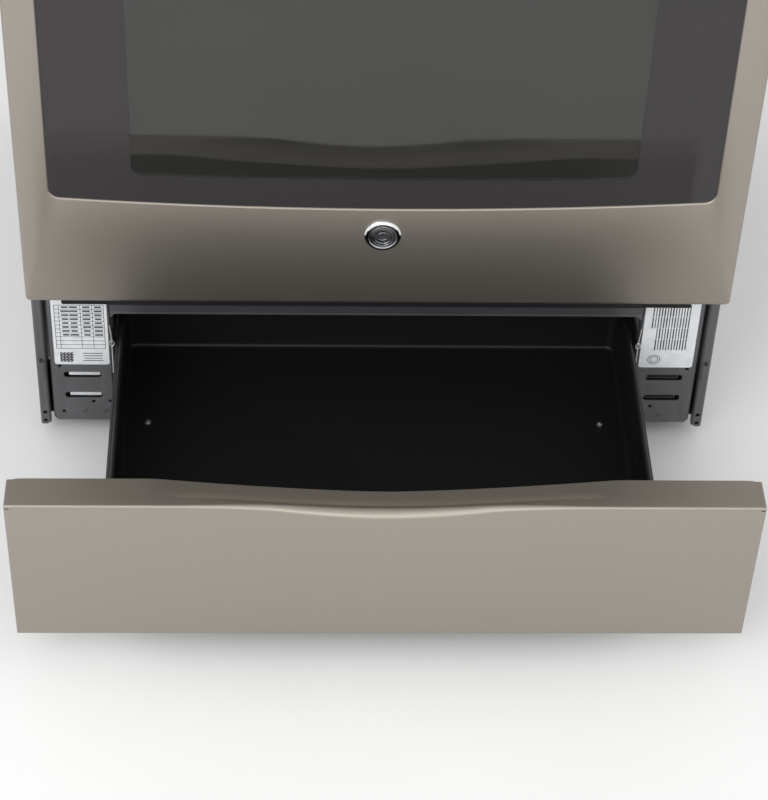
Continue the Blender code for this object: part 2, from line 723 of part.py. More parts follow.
def surface_burner(index, x, back, radius):
    """Aluminium burner head with a stepped base, and the cast-iron cap that rests on it."""
    low = RECESS_HEIGHT + GAP
    high = low + BURNER_HEIGHT
    head_profile = [
        (0.0, 0.0),
        (radius * 1.06, 0.0),
        (radius * 1.06, 0.004),
        (radius * 0.94, 0.006),
        (radius * 0.94, BURNER_HEIGHT),
        (0.0, BURNER_HEIGHT),
    ]
    cap_profile = [
        (0.0, 0.0),
        (radius * 0.98, 0.0),
        (radius, 0.0015),
        (radius * 0.97, CAP_THICKNESS * 0.7),
        (radius * 0.80, CAP_THICKNESS),
        (0.0, CAP_THICKNESS * 0.92),
    ]
    head = turned(f"burner_head_{index}", head_profile, 24, "aluminium")
    moved(head, Matrix.Translation((x, depth(back), low)))
    cap = turned(f"burner_cap_{index}", cap_profile, 24, "cast_iron")
    moved(cap, Matrix.Translation((x, depth(back), high + GAP)))


def oval_outline(radius, half):
    """A long round-ended outline, in (x, depth)."""
    outline = []
    for end, start in ((1, 0.0), (-1, math.pi)):
        middle = OVAL_DEPTH + end * (half - radius)
        for step in range(9):
            turn = start + math.pi * step / 8
            outline.append((radius * math.cos(turn), middle + radius * math.sin(turn)))
    return outline


def oval_burner():
    """Long middle burner: a round-ended head with its cap."""
    low = RECESS_HEIGHT + GAP
    high = low + BURNER_HEIGHT
    prism("burner_head_5", oval_outline(OVAL_RADIUS, OVAL_HALF), "Z", low, high, "aluminium")
    lap, bevel = 0.001, 0.004
    profile = [
        (OVAL_RADIUS + lap, high + GAP),
        (OVAL_RADIUS + lap, high + CAP_THICKNESS * 0.7),
        (OVAL_RADIUS - bevel, high + CAP_THICKNESS),
    ]
    rings = []
    for radius, height in profile:
        outline = oval_outline(radius, OVAL_HALF + radius - OVAL_RADIUS)
        rings.append([(x, depth(back), height) for x, back in outline])
    add_mesh("burner_cap_5", *joined_rings(rings), "cast_iron")


def grate(name, left, right, burner_spots):
    """Cast grate: a frame on six feet, with fingers that reach in over each burner."""
    bar, lap = GRATE_BAR, GRATE_LAP
    low = RECESS_HEIGHT + GRATE_CLEARANCE
    high = low + GRATE_BAR_HEIGHT
    front, back = GRATE_FRONT, GRATE_BACK
    outer = block(name, (left, right), (front, back), (low, high), "cast_iron")
    xs, depths = (left + bar, right - bar), (front + bar, back - bar)
    cut(outer, block("inside", xs, depths, (low - CUT_PAST, high + CUT_PAST), "cast_iron"))
    middle = (front + back) / 2
    across = (left + lap, right - lap)
    parts = [block("tie", across, (middle - bar / 2, middle + bar / 2), (low, high), "cast_iron")]
    width = GRATE_FINGER / 2
    heights = (low + lap, high)
    for x, spot, clear in burner_spots:
        for end, sign in ((left, -1), (right, 1)):
            reach = sorted((end - sign * lap, x + sign * clear))
            parts.append(block("finger", reach, (spot - width, spot + width), heights, "cast_iron"))
        near, far = (front, middle) if spot < middle else (middle, back)
        for end, sign in ((near, -1), (far, 1)):
            reach = sorted((end - sign * lap, spot + sign * clear))
            parts.append(block("finger", (x - width, x + width), reach, heights, "cast_iron"))
    foot, inset = GRATE_FOOT, lap / 4
    heights = (RECESS_HEIGHT + GAP, low + lap * 2)
    for x in (left + inset, right - foot - inset):
        for start in (front + inset, middle - foot / 2, back - foot - inset):
            parts.append(block("foot", (x, x + foot), (start, start + foot), heights, "cast_iron"))
    return joined(outer, *parts)


def grates():
    """Two side grates over the round burners and one over the long middle burner."""
    clear = GAP * 3
    spots = [(BURNER_X, BURNER_FRONT, 0.020), (BURNER_X, BURNER_REAR, 0.014)]
    grate("grate_right", GRATE_SPLIT + clear, GRATE_SIDE_HALF, spots)
    mirrored = [(-x, back, reach) for x, back, reach in spots]
    grate("grate_left", -GRATE_SIDE_HALF, -GRATE_SPLIT - clear, mirrored)
    middle_spots = [(0.0, OVAL_DEPTH + sign * OVAL_SPOT, 0.016) for sign in (-1, 1)]
    grate("grate_centre", -GRATE_SPLIT + clear, GRATE_SPLIT - clear, middle_spots)


# ---------------------------------------------------------------------------------------------------------
# Controls
# ---------------------------------------------------------------------------------------------------------
def knob_panel():
    """Sloped panel over the door, with closed ends and a hole for each valve stem."""
    path = [
        (-PANEL_RETURN, PANEL_TOP),
        (-PANEL_PROUD_TOP, PANEL_TOP),
        (-PANEL_PROUD_BOTTOM, PANEL_BOTTOM),
        (-PANEL_RETURN, PANEL_BOTTOM),
    ]
    half = HALF_WIDTH - GAP
    panel = prism("knob_panel", folded(path, SHEET), "X", -half, half, "slate_steel")
    inset = MELD * 2
    end = [
        (-PANEL_RETURN - inset, PANEL_TOP - inset),
        (-PANEL_PROUD_TOP + inset, PANEL_TOP - inset),
        (-PANEL_PROUD_BOTTOM + inset, PANEL_BOTTOM + inset),
        (-PANEL_RETURN - inset, PANEL_BOTTOM + inset),
    ]
    for _, sign in SIDES:
        joined(panel, prism("end", end, "X", sign * (half - MELD), sign * (half - SHEET), "slate_steel"))
    radius, reach = STEM_RADIUS + PIERCE, CUT_PAST
    holes = []
    for x in KNOB_XS:
        hole = turned("hole", [(0, -reach), (radius, -reach), (radius, reach), (0, reach)], 12, "slate_steel")
        holes.append(moved(hole, panel_frame(x, KNOB_HEIGHT)))
    return cut(panel, *holes)


def gas_manifold():
    """Square gas tube behind the panel with the body of a valve for each stem."""
    frame = panel_frame(0.0, KNOB_HEIGHT)
    far = -VALVE_DEPTH
    length = VALVE_LENGTH
    centre = (frame @ Matrix.Translation((0, 0, far - length))).translation
    half = MANIFOLD_SIZE / 2
    back, height = centre.y - FRONT_EDGE_Y, centre.z
    depths, heights = (back - half, back + half), (height - half, height + half)
    pipe = block("gas_manifold", (-MANIFOLD_HALF, MANIFOLD_HALF), depths, heights, "brass")
    bodies, bores = [], []
    size = VALVE_SIZE / 2
    corners = [(-size, -size), (size, -size), (size, size), (-size, size)]
    rings = [[(a, b, z) for a, b in corners] for z in (far - length, far)]
    radius = STEM_RADIUS + STEM_CLEARANCE
    start, end = far - VALVE_BORE_DEPTH, far + CUT_PAST
    for x in KNOB_XS:
        valve = add_mesh("valve", *joined_rings(rings), "brass")
        bodies.append(moved(valve, panel_frame(x, KNOB_HEIGHT)))
        bore = turned("bore", [(0, start), (radius, start), (radius, end), (0, end)], 16, "brass")
        bores.append(moved(bore, panel_frame(x, KNOB_HEIGHT)))
    joined(pipe, *bodies)
    return cut(pipe, *bores)


def valve_stem(index, x):
    """Stem that is pushed in and turned, from inside its valve to inside its knob."""
    front = KNOB_STANDOFF + KNOB_BORE_DEPTH - GAP
    profile = [(0, -STEM_BEHIND), (STEM_RADIUS, -STEM_BEHIND), (STEM_RADIUS, front), (0, front)]
    return turned(f"valve_stem_{index}", profile, 16, "brass")


def knob(index):
    """Round knob with a skirt, a blind bore for the stem and a raised bar to grip."""
    low = KNOB_STANDOFF
    shoulder = low + KNOB_SKIRT_THICKNESS
    top = low + KNOB_THICKNESS
    profile = [
        (0.0, low),
        (KNOB_RADIUS, low),
        (KNOB_RADIUS, shoulder - 0.0015),
        (KNOB_RADIUS - 0.002, shoulder),
        (KNOB_RADIUS - 0.004, shoulder + 0.001),
        (KNOB_RADIUS - 0.0065, top - 0.004),
        (0.0, top - 0.004),
    ]
    body = turned(f"knob_{index}", profile, 20, "slate_steel")
    half, reach = KNOB_GRIP / 2, KNOB_RADIUS - 0.0045
    corners = rounded_corners([(-half, -reach), (half, -reach), (half, reach), (-half, reach)], 0.0035, 2)
    rings = [[(a, b, z) for a, b in corners] for z in (shoulder + 0.004, top)]
    grip = add_mesh("grip", *joined_rings(rings), "slate_steel")
    radius = STEM_RADIUS + STEM_CLEARANCE
    start, end = low - CUT_PAST, low + KNOB_BORE_DEPTH
    bore = turned("bore", [(0, start), (radius, start), (radius, end), (0, end)], 16, "slate_steel")
    return cut(joined(body, grip), bore)


def knobs():
    """Each knob and its stem, hung from a pivot on the stem's axis where it crosses the panel."""
    for index, x in enumerate(KNOB_XS, start=1):
        frame = panel_frame(x, KNOB_HEIGHT)
        axis = pivot(f"knob_axis_{index}", frame.translation)
        axis.rotation_euler = frame.to_euler()
        for piece in (valve_stem(index, x), knob(index)):
            piece.parent = axis


def backguard():
    """Hollow rear guard with a leaning front."""
    front = GUARD_BACK - GUARD_DEPTH
    path = [
        (GUARD_BACK, GUARD_FOOT),
        (GUARD_BACK, OVERALL_HEIGHT),
        (front + GUARD_LEAN, OVERALL_HEIGHT),
        (front, GUARD_FRONT_FOOT),
    ]
    half = HALF_WIDTH - SHEET
    guard = prism("backguard", folded(path, SHEET), "X", -half, half, "slate_steel")
    inset = MELD * 2
    end = [
        (GUARD_BACK - inset, GUARD_FOOT + inset),
        (GUARD_BACK - inset, OVERALL_HEIGHT - inset),
        (front + GUARD_LEAN + inset, OVERALL_HEIGHT - inset),
        (front + inset, GUARD_FRONT_FOOT + inset),
    ]
    for _, sign in SIDES:
        joined(guard, prism("end", end, "X", sign * (half - MELD), sign * (half - SHEET), "slate_steel"))
    return guard


def control_glass():
    """Black glass of the oven controls, on the leaning face of the guard."""
    foot = Vector((GUARD_BACK - GUARD_DEPTH, GUARD_FRONT_FOOT))
    along = Vector((GUARD_LEAN, OVERALL_HEIGHT - GUARD_FRONT_FOOT)).normalized()
    out = Vector((-along.y, along.x))
    near, far = GAP, GAP + CONTROL_GLASS_THICKNESS
    corners = [
        foot + along * height + out * off
        for height, off in (
            (CONTROL_GLASS_FROM, near),
            (CONTROL_GLASS_TO, near),
            (CONTROL_GLASS_TO, far),
            (CONTROL_GLASS_FROM, far),
        )
    ]
    outline = [tuple(corner) for corner in corners]
    return prism("control_glass", outline, "X", -CONTROL_GLASS_HALF, CONTROL_GLASS_HALF, "glass")


# ---------------------------------------------------------------------------------------------------------
# Legs and slides
# ---------------------------------------------------------------------------------------------------------
def leg(name, x, back):
    """Levelling leg: foot pad, threaded post and its nut under the side panel's bottom flange."""
    nut_low = SIDE_BOTTOM - GAP - LEG_NUT_HEIGHT
    profile = [
        (0.0, 0.0),
        (LEG_PAD_RADIUS - 0.002, 0.0),
        (LEG_PAD_RADIUS, 0.002),
        (LEG_PAD_RADIUS - 0.003, LEG_PAD_HEIGHT),
        (LEG_POST_RADIUS, LEG_PAD_HEIGHT + 0.0015),
        (LEG_POST_RADIUS, nut_low),
        (LEG_NUT_RADIUS, nut_low),
        (LEG_NUT_RADIUS, SIDE_BOTTOM - GAP),
        (LEG_POST_RADIUS, SIDE_BOTTOM - GAP),
        (LEG_POST_RADIUS, LEG_TOP),
        (0.0, LEG_TOP),
    ]
    piece = turned(name, profile, 12, "zinc")
    piece.parent = pivot(name + "_axis", (x, depth(back), 0.0))


def drawer_guide(side, sign):
    """Zinc strip on the body beside the drawer, with the pin of its roller and a foot at its far end."""
    outer = PLATE_INNER - GAP
    inner = outer - GUIDE_SHEET
    heights = (GUIDE_BOTTOM, GUIDE_TOP)
    guide = block("drawer_guide_" + side, (sign * inner, sign * outer), (0.0, GUIDE_BACK), heights, "zinc")
    reach = (sign * (inner + GUIDE_SHEET / 4), sign * (PAN_HALF + ROLLER_PAN_GAP))
    pin = circle(ROLLER_PIN_RADIUS, 10, (ROLLER_DEPTH, ROLLER_HEIGHT))
    foot = (sign * (outer - GUIDE_SHEET / 4), sign * (outer + GUIDE_FOOT))
    depths = (GUIDE_BACK - GUIDE_FOOT * 2, GUIDE_BACK - SHEET)
    heights = (GUIDE_BOTTOM + SHEET, GUIDE_TOP - SHEET)
    joined(guide, prism("pin", pin, "X", *reach, "zinc"), block("foot", foot, depths, heights, "zinc"))
    return guide


def guide_roller(side, sign):
    """Nylon roller on the guide's pin, under the drawer's rail."""
    centre = (ROLLER_DEPTH, ROLLER_HEIGHT)
    inner = PAN_HALF + ROLLER_PAN_GAP + MELD
    outer = inner + ROLLER_WIDTH
    rim = circle(ROLLER_RADIUS, 24, centre)
    roller = prism("guide_roller_" + side, rim, "X", sign * inner, sign * outer, "nylon")
    bore = circle(ROLLER_PIN_RADIUS + GAP, 12, centre)
    cut(roller, prism("bore", bore, "X", sign * (inner - PIERCE), sign * (outer + PIERCE), "nylon"))
    hang(pivot(f"guide_roller_{side}_axis", (0.0, depth(ROLLER_DEPTH), ROLLER_HEIGHT)), [roller])


# ---------------------------------------------------------------------------------------------------------
# Drawer
# ---------------------------------------------------------------------------------------------------------
def scoop_share(x, half, power):
    """1 in the middle of the finger scoop, falling to 0 at its half width."""
    return max(0.0, 1.0 - (abs(x) / half) ** power)


def fold_dip(x):
    """How far the front edge of the lip is pressed down."""
    share = min(1.0, abs(x) / SCOOP_FOLD_HALF)
    return SCOOP_FOLD_DIP * math.cos(math.pi / 2 * share) ** 2


def lip_height(x, behind):
    """Height of the drawer's top lip at a distance behind the drawer's face."""
    crease = SCOOP_SET_IN + SCOOP_SWEEP * (abs(x) / SCOOP_HALF) ** 4
    front = fold_dip(x)
    extra = max(0.0, SCOOP_DEPTH * scoop_share(x, SCOOP_HALF, 1.5) - front)
    past = max(0.0, behind - crease)
    return DRAWER_TOP - front - extra * (1.0 - math.exp(-past / SCOOP_RAMP))


def drawer_front_section(x):
    """Section through the folded front at x, as (distance behind the face, height) from the bottom lip."""
    share = min(1.0, abs(x) / SCOOP_HALF)
    radius = FOLD_RADIUS + (FOLD_RADIUS_MIDDLE - FOLD_RADIUS) * math.cos(math.pi / 2 * share) ** 2
    centre = lip_height(x, radius) - radius
    path = [(DRAWER_BOTTOM_LIP, DRAWER_BOTTOM), (0.0, DRAWER_BOTTOM)]
    for step in range(5):
        turn = math.pi / 2 * step / 4
        path.append((radius * (1 - math.cos(turn)), centre + radius * math.sin(turn)))
    for step in range(1, 5):
        behind = radius + (DRAWER_LIP - radius) * step / 4
        path.append((behind, lip_height(x, behind)))
    return folded(path, -DRAWER_SKIN)


def drawer_front():
    """Folded drawer front: face, bottom lip, and a top lip pressed down into a finger scoop in the middle."""
    half = DRAWER_FRONT_WIDTH / 2
    scoop = [SCOOP_HALF * (index / SCOOP_STEPS - 1) for index in range(2 * SCOOP_STEPS + 1)]
    rings = []
    for x in [-half, -half * 0.8] + scoop + [half * 0.8, half]:
        section = drawer_front_section(x)
        rings.append([(x, depth(DRAWER_OPEN_FRONT + behind), height) for behind, height in section])
    front = add_mesh("drawer_front", *joined_rings(rings), "slate_steel")
    outer, inner = half - MELD / 2, half - MELD / 2 - DRAWER_SKIN
    depths = (DRAWER_OPEN_FRONT + MELD, DRAWER_OPEN_FRONT + DRAWER_LIP - MELD)
    heights = (DRAWER_BOTTOM + MELD, DRAWER_TOP - FOLD_RADIUS - MELD)
    for _, sign in SIDES:
        joined(front, block("end", (sign * outer, sign * inner), depths, heights, "slate_steel"))
    return front


def drawer_pan():
    """Enamelled pan: open box with a hemmed top edge."""
    front = DRAWER_OPEN_FRONT + PAN_BEHIND_FRONT
    back = front + PAN_LENGTH
    pan = block("drawer_pan", (-PAN_HALF, PAN_HALF), (front, back), (PAN_BOTTOM, PAN_TOP), "black_enamel")
    sheet = PAN_SHEET
    wall = PAN_HALF - sheet
    hem = PAN_HALF - PAN_HEM
    below = (PAN_BOTTOM + sheet, PAN_TOP - PAN_HEM_HEIGHT)
    hollow = block("hollow", (-wall, wall), (front + sheet, back - sheet), below, "black_enamel")
    above = (PAN_TOP - PAN_HEM_HEIGHT * 2, PAN_TOP + CUT_PAST)
    mouth = block("mouth", (-hem, hem), (front + PAN_HEM, back - PAN_HEM), above, "black_enamel")
    return cut(pan, hollow, mouth)


def drawer_rail(side, sign):
    """Rail along the outside of the pan, which runs over the guide's roller."""
    inner = PAN_HALF + GAP
    outer = inner + RAIL_THICKNESS
    path = [
        (outer, RAIL_BOTTOM + RAIL_HEIGHT),
        (inner, RAIL_BOTTOM + RAIL_HEIGHT),
        (inner, RAIL_BOTTOM),
        (outer, RAIL_BOTTOM),
    ]
    outline = [(sign * x, z) for x, z in folded(path, SHEET)]
    front = DRAWER_OPEN_FRONT + PAN_BEHIND_FRONT + PAN_HEM
    back = DRAWER_OPEN_FRONT + PAN_BEHIND_FRONT + PAN_LENGTH - PAN_HEM
    return prism("drawer_rail_" + side, outline, "Y", front, back, "zinc")


# ---------------------------------------------------------------------------------------------------------
# Door
# ---------------------------------------------------------------------------------------------------------
def arched_outline(half, low, high, sag, rise, radius):
    """A wide outline whose lower edge bows down and whose upper edge bows up, with rounded corners."""
    outline = rounded_corners([(-half, low), (half, low), (half, high), (-half, high)], radius)
    bowed = []
    steps = 12
    for index, (x, z) in enumerate(outline):
        bowed.append((x, z))
        following = outline[(index + 1) % len(outline)]
        if abs(following[0] - x) > half:
            for step in range(1, steps):
                share = step / steps
                bow = sag if z < (low + high) / 2 else -rise
                bowed.append((x + (following[0] - x) * share, z - bow * 4 * share * (1 - share)))
    return bowed


def ear_notch(sign):
    """The X range cut out of the door's edge for an oven's hinge ear and the hinge leaf beside it."""
    outer = HINGE_EAR_X + HINGE_EAR_THICKNESS + EAR_NOTCH_OUTER
    return sign * (HINGE_EAR_X - EAR_NOTCH_INNER), sign * outer


def door_skin():
    """Pressed outer door panel: face with the window opening, and returns on all four sides."""
    half = DOOR_WIDTH / 2
    front, back = -DOOR_PROUD, -DOOR_SKIN_BACK
    radius = DOOR_EDGE_RADIUS
    rings = []
    eased = radius * (1 - math.sqrt(0.5))
    for inset, behind in ((radius, 0.0), (eased, eased), (0.0, radius), (0.0, back - front)):
        corners = [
            (-half + inset * 0.5, DOOR_BOTTOM + inset),
            (half - inset * 0.5, DOOR_BOTTOM + inset),
            (half - inset * 0.5, DOOR_TOP - inset * 0.5),
            (-half + inset * 0.5, DOOR_TOP - inset * 0.5),
        ]
        rings.append([(x, depth(front + behind), z) for x, z in rounded_corners(corners, DOOR_CORNER, 2)])
    skin = add_mesh("door_skin", *joined_rings(rings), "slate_steel")
    sheet = DOOR_SKIN_SHEET
    hollow = [
        (-half + sheet, DOOR_BOTTOM + radius),
        (half - sheet, DOOR_BOTTOM + radius),
        (half - sheet, DOOR_TOP - radius * 0.6),
        (-half + sheet, DOOR_TOP - radius * 0.6),
    ]
    past = back + CUT_PAST
    face = prism("inside", hollow, "Y", front + sheet, past, "slate_steel")
    heights = (DOOR_BOTTOM + sheet, DOOR_TOP - sheet)
    sides = block("inside", (-half + sheet, half - sheet), (front + radius, past), heights, "slate_steel")
    opening = arched_outline(GLASS_HALF, GLASS_BOTTOM, GLASS_TOP, GLASS_SAG, GLASS_RISE, GLASS_CORNER)
    window = prism("window", opening, "Y", front - CUT_PAST, front + CUT_PAST, "slate_steel")
    cutters = [face, sides, window]
    for _, sign in SIDES:
        depths = (-HINGE_DEPTH - EAR_NOTCH_FRONT, past)
        heights = (DOOR_BOTTOM - CUT_PAST, HINGE_HEIGHT)
        cutters.append(block("notch", ear_notch(sign), depths, heights, "slate_steel"))
    return cut(skin, *cutters)


def door_glass():
    """Outer door glass, behind the window opening of the skin."""
    front = -DOOR_PROUD + DOOR_SKIN_SHEET + GAP
    lap = GLASS_LAP
    low, high = GLASS_BOTTOM - lap, GLASS_TOP + lap
    outline = arched_outline(GLASS_HALF + lap, low, high, GLASS_SAG, GLASS_RISE, GLASS_CORNER)
    return prism("door_glass", outline, "Y", front, front + GLASS_THICKNESS, "glass")


def door_liner():
    """Inner door panel: a shallow pressed tray facing the oven, with the inner window and hinge notches."""
    half = DOOR_WIDTH / 2 - LINER_BELOW
    back = -DOOR_LINER_DEPTH
    front = -DOOR_SKIN_BACK + GAP
    low, high = DOOR_BOTTOM + LINER_BELOW, DOOR_TOP - LINER_BELOW
    corners = [(-half, low), (half, low), (half, high), (-half, high)]
    liner = prism("door_liner", rounded_corners(corners, LINER_RIM / 2), "Y", front, back, "black_enamel")
    inner, foot, top = half - LINER_RIM, low + LINER_RIM * 1.7, high - LINER_RIM
    tray = rounded_corners([(-inner, foot), (inner, foot), (inner, top), (-inner, top)], LINER_RIM)
    pressed = prism("pressed", tray, "Y", front - CUT_PAST, back - SHEET, "black_enamel")
    corners = [
        (-INNER_GLASS_HALF, INNER_GLASS_BOTTOM),
        (INNER_GLASS_HALF, INNER_GLASS_BOTTOM),
        (INNER_GLASS_HALF, INNER_GLASS_TOP),
        (-INNER_GLASS_HALF, INNER_GLASS_TOP),
    ]
    through = (front - CUT_PAST, back + CUT_PAST)
    window = prism("window", rounded_corners(corners, GLASS_CORNER), "Y", *through, "black_enamel")
    cutters = [pressed, window]
    heights = (low - CUT_PAST, HINGE_HEIGHT + EAR_NOTCH_LINER)
    for _, sign in SIDES:
        cutters.append(block("notch", ear_notch(sign), through, heights, "black_enamel"))
    return cut(liner, *cutters)


def door_inner_glass():
    """Inner window pane, held between the liner and the insulation."""
    lap = GLASS_LAP
    back = -DOOR_LINER_DEPTH - SHEET - GAP
    half, low, high = INNER_GLASS_HALF + lap, INNER_GLASS_BOTTOM - lap, INNER_GLASS_TOP + lap
    outline = rounded_corners([(-half, low), (half, low), (half, high), (-half, high)], GLASS_CORNER)
    return prism("door_inner_glass", outline, "Y", back - GLASS_THICKNESS, back, "glass")


def door_hinge(side, sign):
    """Hinge leaf inside the door, with the pin that turns in the oven's ear."""
    outer = HINGE_EAR_X + HINGE_EAR_THICKNESS + GAP * 2
    around = HINGE_PIN_RADIUS * 2
    top = HINGE_HEIGHT + HINGE_LEAF_LENGTH
    leaf = [
        (-HINGE_DEPTH - around, HINGE_HEIGHT - around),
        (-HINGE_DEPTH + 0.010, HINGE_HEIGHT - around),
        (-HINGE_DEPTH + 0.016, HINGE_HEIGHT + 0.020),
        (-HINGE_DEPTH + 0.016, top),
        (-HINGE_DEPTH - 0.002, top),
        (-HINGE_DEPTH - around, HINGE_HEIGHT + 0.020),
    ]
    hinge = prism("door_hinge_" + side, leaf, "X", sign * outer, sign * (outer + HINGE_LEAF_SHEET), "zinc")
    pin = circle(HINGE_PIN_RADIUS, 16, (-HINGE_DEPTH, HINGE_HEIGHT))
    reach = (sign * (outer + HINGE_LEAF_SHEET / 3), sign * (HINGE_EAR_X - EAR_NOTCH_OUTER))
    return joined(hinge, prism("pin", pin, "X", *reach, "zinc"))


def door_handle():
    """Tubular handle that bows forward a little, on two posts."""
    face = -DOOR_PROUD
    steps = 12
    rings = []
    for step in range(steps + 1):
        x = HANDLE_HALF * (2 * step / steps - 1)
        bow = HANDLE_BOW * (1 - (x / HANDLE_HALF) ** 2)
        radius = HANDLE_RADIUS * (0.75 if step in (0, steps) else 1.0)
        ring = circle(radius, 10, (face - HANDLE_STANDOFF - bow, HANDLE_HEIGHT))
        rings.append([(x, depth(back), z) for back, z in ring])
    bar = add_mesh("door_handle", *joined_rings(rings), "slate_steel")
    posts = []
    for _, sign in SIDES:
        near, far = HANDLE_POST_X - HANDLE_POST_HALF, HANDLE_POST_X + HANDLE_POST_HALF
        low, high = HANDLE_HEIGHT - HANDLE_RADIUS + GAP, HANDLE_HEIGHT + HANDLE_RADIUS - GAP
        corners = rounded_corners([(near, low), (far, low), (far, high), (near, high)], HANDLE_POST_HALF / 2)
        outline = [(sign * x, z) for x, z in corners]
        posts.append(prism("post", outline, "Y", face - GAP, face - HANDLE_STANDOFF, "slate_steel"))
    return joined(bar, *posts)


def door_badge():
    """Plain round badge with a raised ring."""
    profile = [
        (0.0, 0.0),
        (BADGE_RADIUS, 0.0),
        (BADGE_RADIUS, BADGE_THICKNESS * 0.6),
        (BADGE_RADIUS - 0.0015, BADGE_THICKNESS),
        (BADGE_RADIUS - 0.003, BADGE_THICKNESS),
        (BADGE_RADIUS - 0.0042, BADGE_THICKNESS * 0.7),
        (0.0, BADGE_THICKNESS * 0.7),
    ]
    badge = turned("door_badge", profile, 24, "chrome")
    place = Matrix.Translation((0.0, depth(-DOOR_PROUD - GAP), BADGE_HEIGHT))
    return moved(badge, place @ Matrix.Rotation(math.pi / 2, 4, "X"))


# ---------------------------------------------------------------------------------------------------------
# The range
# ---------------------------------------------------------------------------------------------------------
def build_body():
    for side, sign in SIDES:
        side_panel(side, sign)
        drawer_guide(side, sign)
    front_plate("left", -1, PLATE_HOLES_LEFT)
    front_plate("right", 1, PLATE_HOLES_RIGHT)
    lower_crossbar()
    rear_panel()
    oven_liner()
    oven_floor_panel()
    under_floor = (OVEN_FLOOR + FLOOR_PANEL_HEIGHT - SHEET) / 2
    before_fold = OVEN_BACK - 5 * FLOOR_PANEL_CLEARANCE
    oven_burner("bake_burner", under_floor, BAKE_BURNER_HALF, BAKE_BURNER_FRONT, before_fold)
    under_ceiling = OVEN_CEILING - BURNER_TUBE_RADIUS - BROIL_CLEARANCE
    oven_burner("broil_burner", under_ceiling, BROIL_BURNER_HALF, BROIL_BURNER_FRONT, OVEN_BACK - GAP)
    for name, ledge in zip(("oven_rack_lower", "oven_rack_upper"), LEDGE_HEIGHTS):
        oven_rack(name, ledge)


def build_top():
    cooktop()
    for index, (x, back, radius) in enumerate(BURNERS, start=1):
        surface_burner(index, x, back, radius)
    oval_burner()
    grates()
    knob_panel()
    gas_manifold()
    knobs()
    backguard()
    control_glass()


def build_legs_and_slides():
    for end, back in zip(("front", "rear"), LEG_DEPTHS):
        for side, sign in SIDES:
            leg(f"leg_{end}_{side}", sign * LEG_X, back)
    for side, sign in SIDES:
        guide_roller(side, sign)


def build_drawer():
    pieces = [drawer_front(), drawer_pan()]
    pieces += [drawer_rail(side, sign) for side, sign in SIDES]
    hang(pivot("drawer_slide", (0.0, depth(DRAWER_OPEN_FRONT), DRAWER_TOP)), pieces)


def build_door():
    pieces = [door_skin(), door_glass(), door_liner(), door_inner_glass(), door_handle(), door_badge()]
    pieces += [door_hinge(side, sign) for side, sign in SIDES]
    hang(pivot("door_axis", (0.0, depth(-HINGE_DEPTH), HINGE_HEIGHT)), pieces)


def smooth_round_pieces():
    for piece in bpy.context.scene.collection.objects:
        if piece.type == "MESH":
            piece.data.shade_smooth()
            piece.data.set_sharp_from_angle(angle=math.radians(30))


def main():
    for thing in list(bpy.data.objects):
        bpy.data.objects.remove(thing)
    build_body()
    build_top()
    build_legs_and_slides()
    build_drawer()
    build_door()
    smooth_round_pieces()


main()
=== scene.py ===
"""Looks of the freestanding gas range: its finishes, sheet, trim and fasteners, built round the frame.

Metres, +Z up, and the front of the range faces -Y. A depth is measured back from the front edge of the side
panels, and at() turns it into Y. X = 0 is the middle of the range.
"""
import json
import math

import bmesh
import bpy
from bpy.props import FloatProperty, FloatVectorProperty, IntProperty, PointerProperty
from mathutils import Matrix, Vector

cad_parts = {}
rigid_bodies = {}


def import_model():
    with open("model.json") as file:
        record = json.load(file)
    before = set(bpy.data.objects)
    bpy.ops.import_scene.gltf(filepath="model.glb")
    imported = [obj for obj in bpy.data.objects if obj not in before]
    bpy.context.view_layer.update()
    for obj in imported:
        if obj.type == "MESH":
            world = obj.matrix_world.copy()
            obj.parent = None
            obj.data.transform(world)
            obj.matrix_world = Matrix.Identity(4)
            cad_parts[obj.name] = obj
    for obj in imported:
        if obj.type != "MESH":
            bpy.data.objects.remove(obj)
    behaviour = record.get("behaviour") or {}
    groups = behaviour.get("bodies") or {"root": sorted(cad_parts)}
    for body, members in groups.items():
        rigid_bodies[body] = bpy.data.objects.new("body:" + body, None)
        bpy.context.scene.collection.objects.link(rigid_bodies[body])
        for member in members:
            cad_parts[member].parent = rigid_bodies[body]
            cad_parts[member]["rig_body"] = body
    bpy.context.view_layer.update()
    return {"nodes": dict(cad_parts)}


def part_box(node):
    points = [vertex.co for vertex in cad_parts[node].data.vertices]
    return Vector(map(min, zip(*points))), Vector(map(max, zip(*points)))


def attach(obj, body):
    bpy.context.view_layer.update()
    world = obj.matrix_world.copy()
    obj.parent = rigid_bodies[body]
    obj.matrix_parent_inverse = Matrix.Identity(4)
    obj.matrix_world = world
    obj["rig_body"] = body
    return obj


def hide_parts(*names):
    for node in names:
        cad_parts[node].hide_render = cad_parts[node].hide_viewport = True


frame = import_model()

bl_info = {
    "name": "Freestanding gas range",
    "version": (1, 0, 0),
    "blender": (4, 5, 0),
    "location": "3D View > Sidebar > Range",
    "description": "Makes the visible pieces, finishes and stage of a freestanding gas range",
    "category": "Object",
}

SIDES = (("left", -1), ("right", 1))
FRONT_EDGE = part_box("side_panel_left")[0].y


def at(back):
    """Y of a point that lies this far behind the front edge of the side panels."""
    return FRONT_EDGE + back


# ---------------------------------------------------------------------------------------------------------
# Sizes and colours
# ---------------------------------------------------------------------------------------------------------
def length(name, default, description):
    return FloatProperty(
        name=name, description=description, default=default, min=0.0, precision=4, unit="LENGTH"
    )


def colour(name, default, description):
    return FloatVectorProperty(
        name=name, description=description, default=default, size=3, min=0.0, max=1.0, subtype="COLOR"
    )


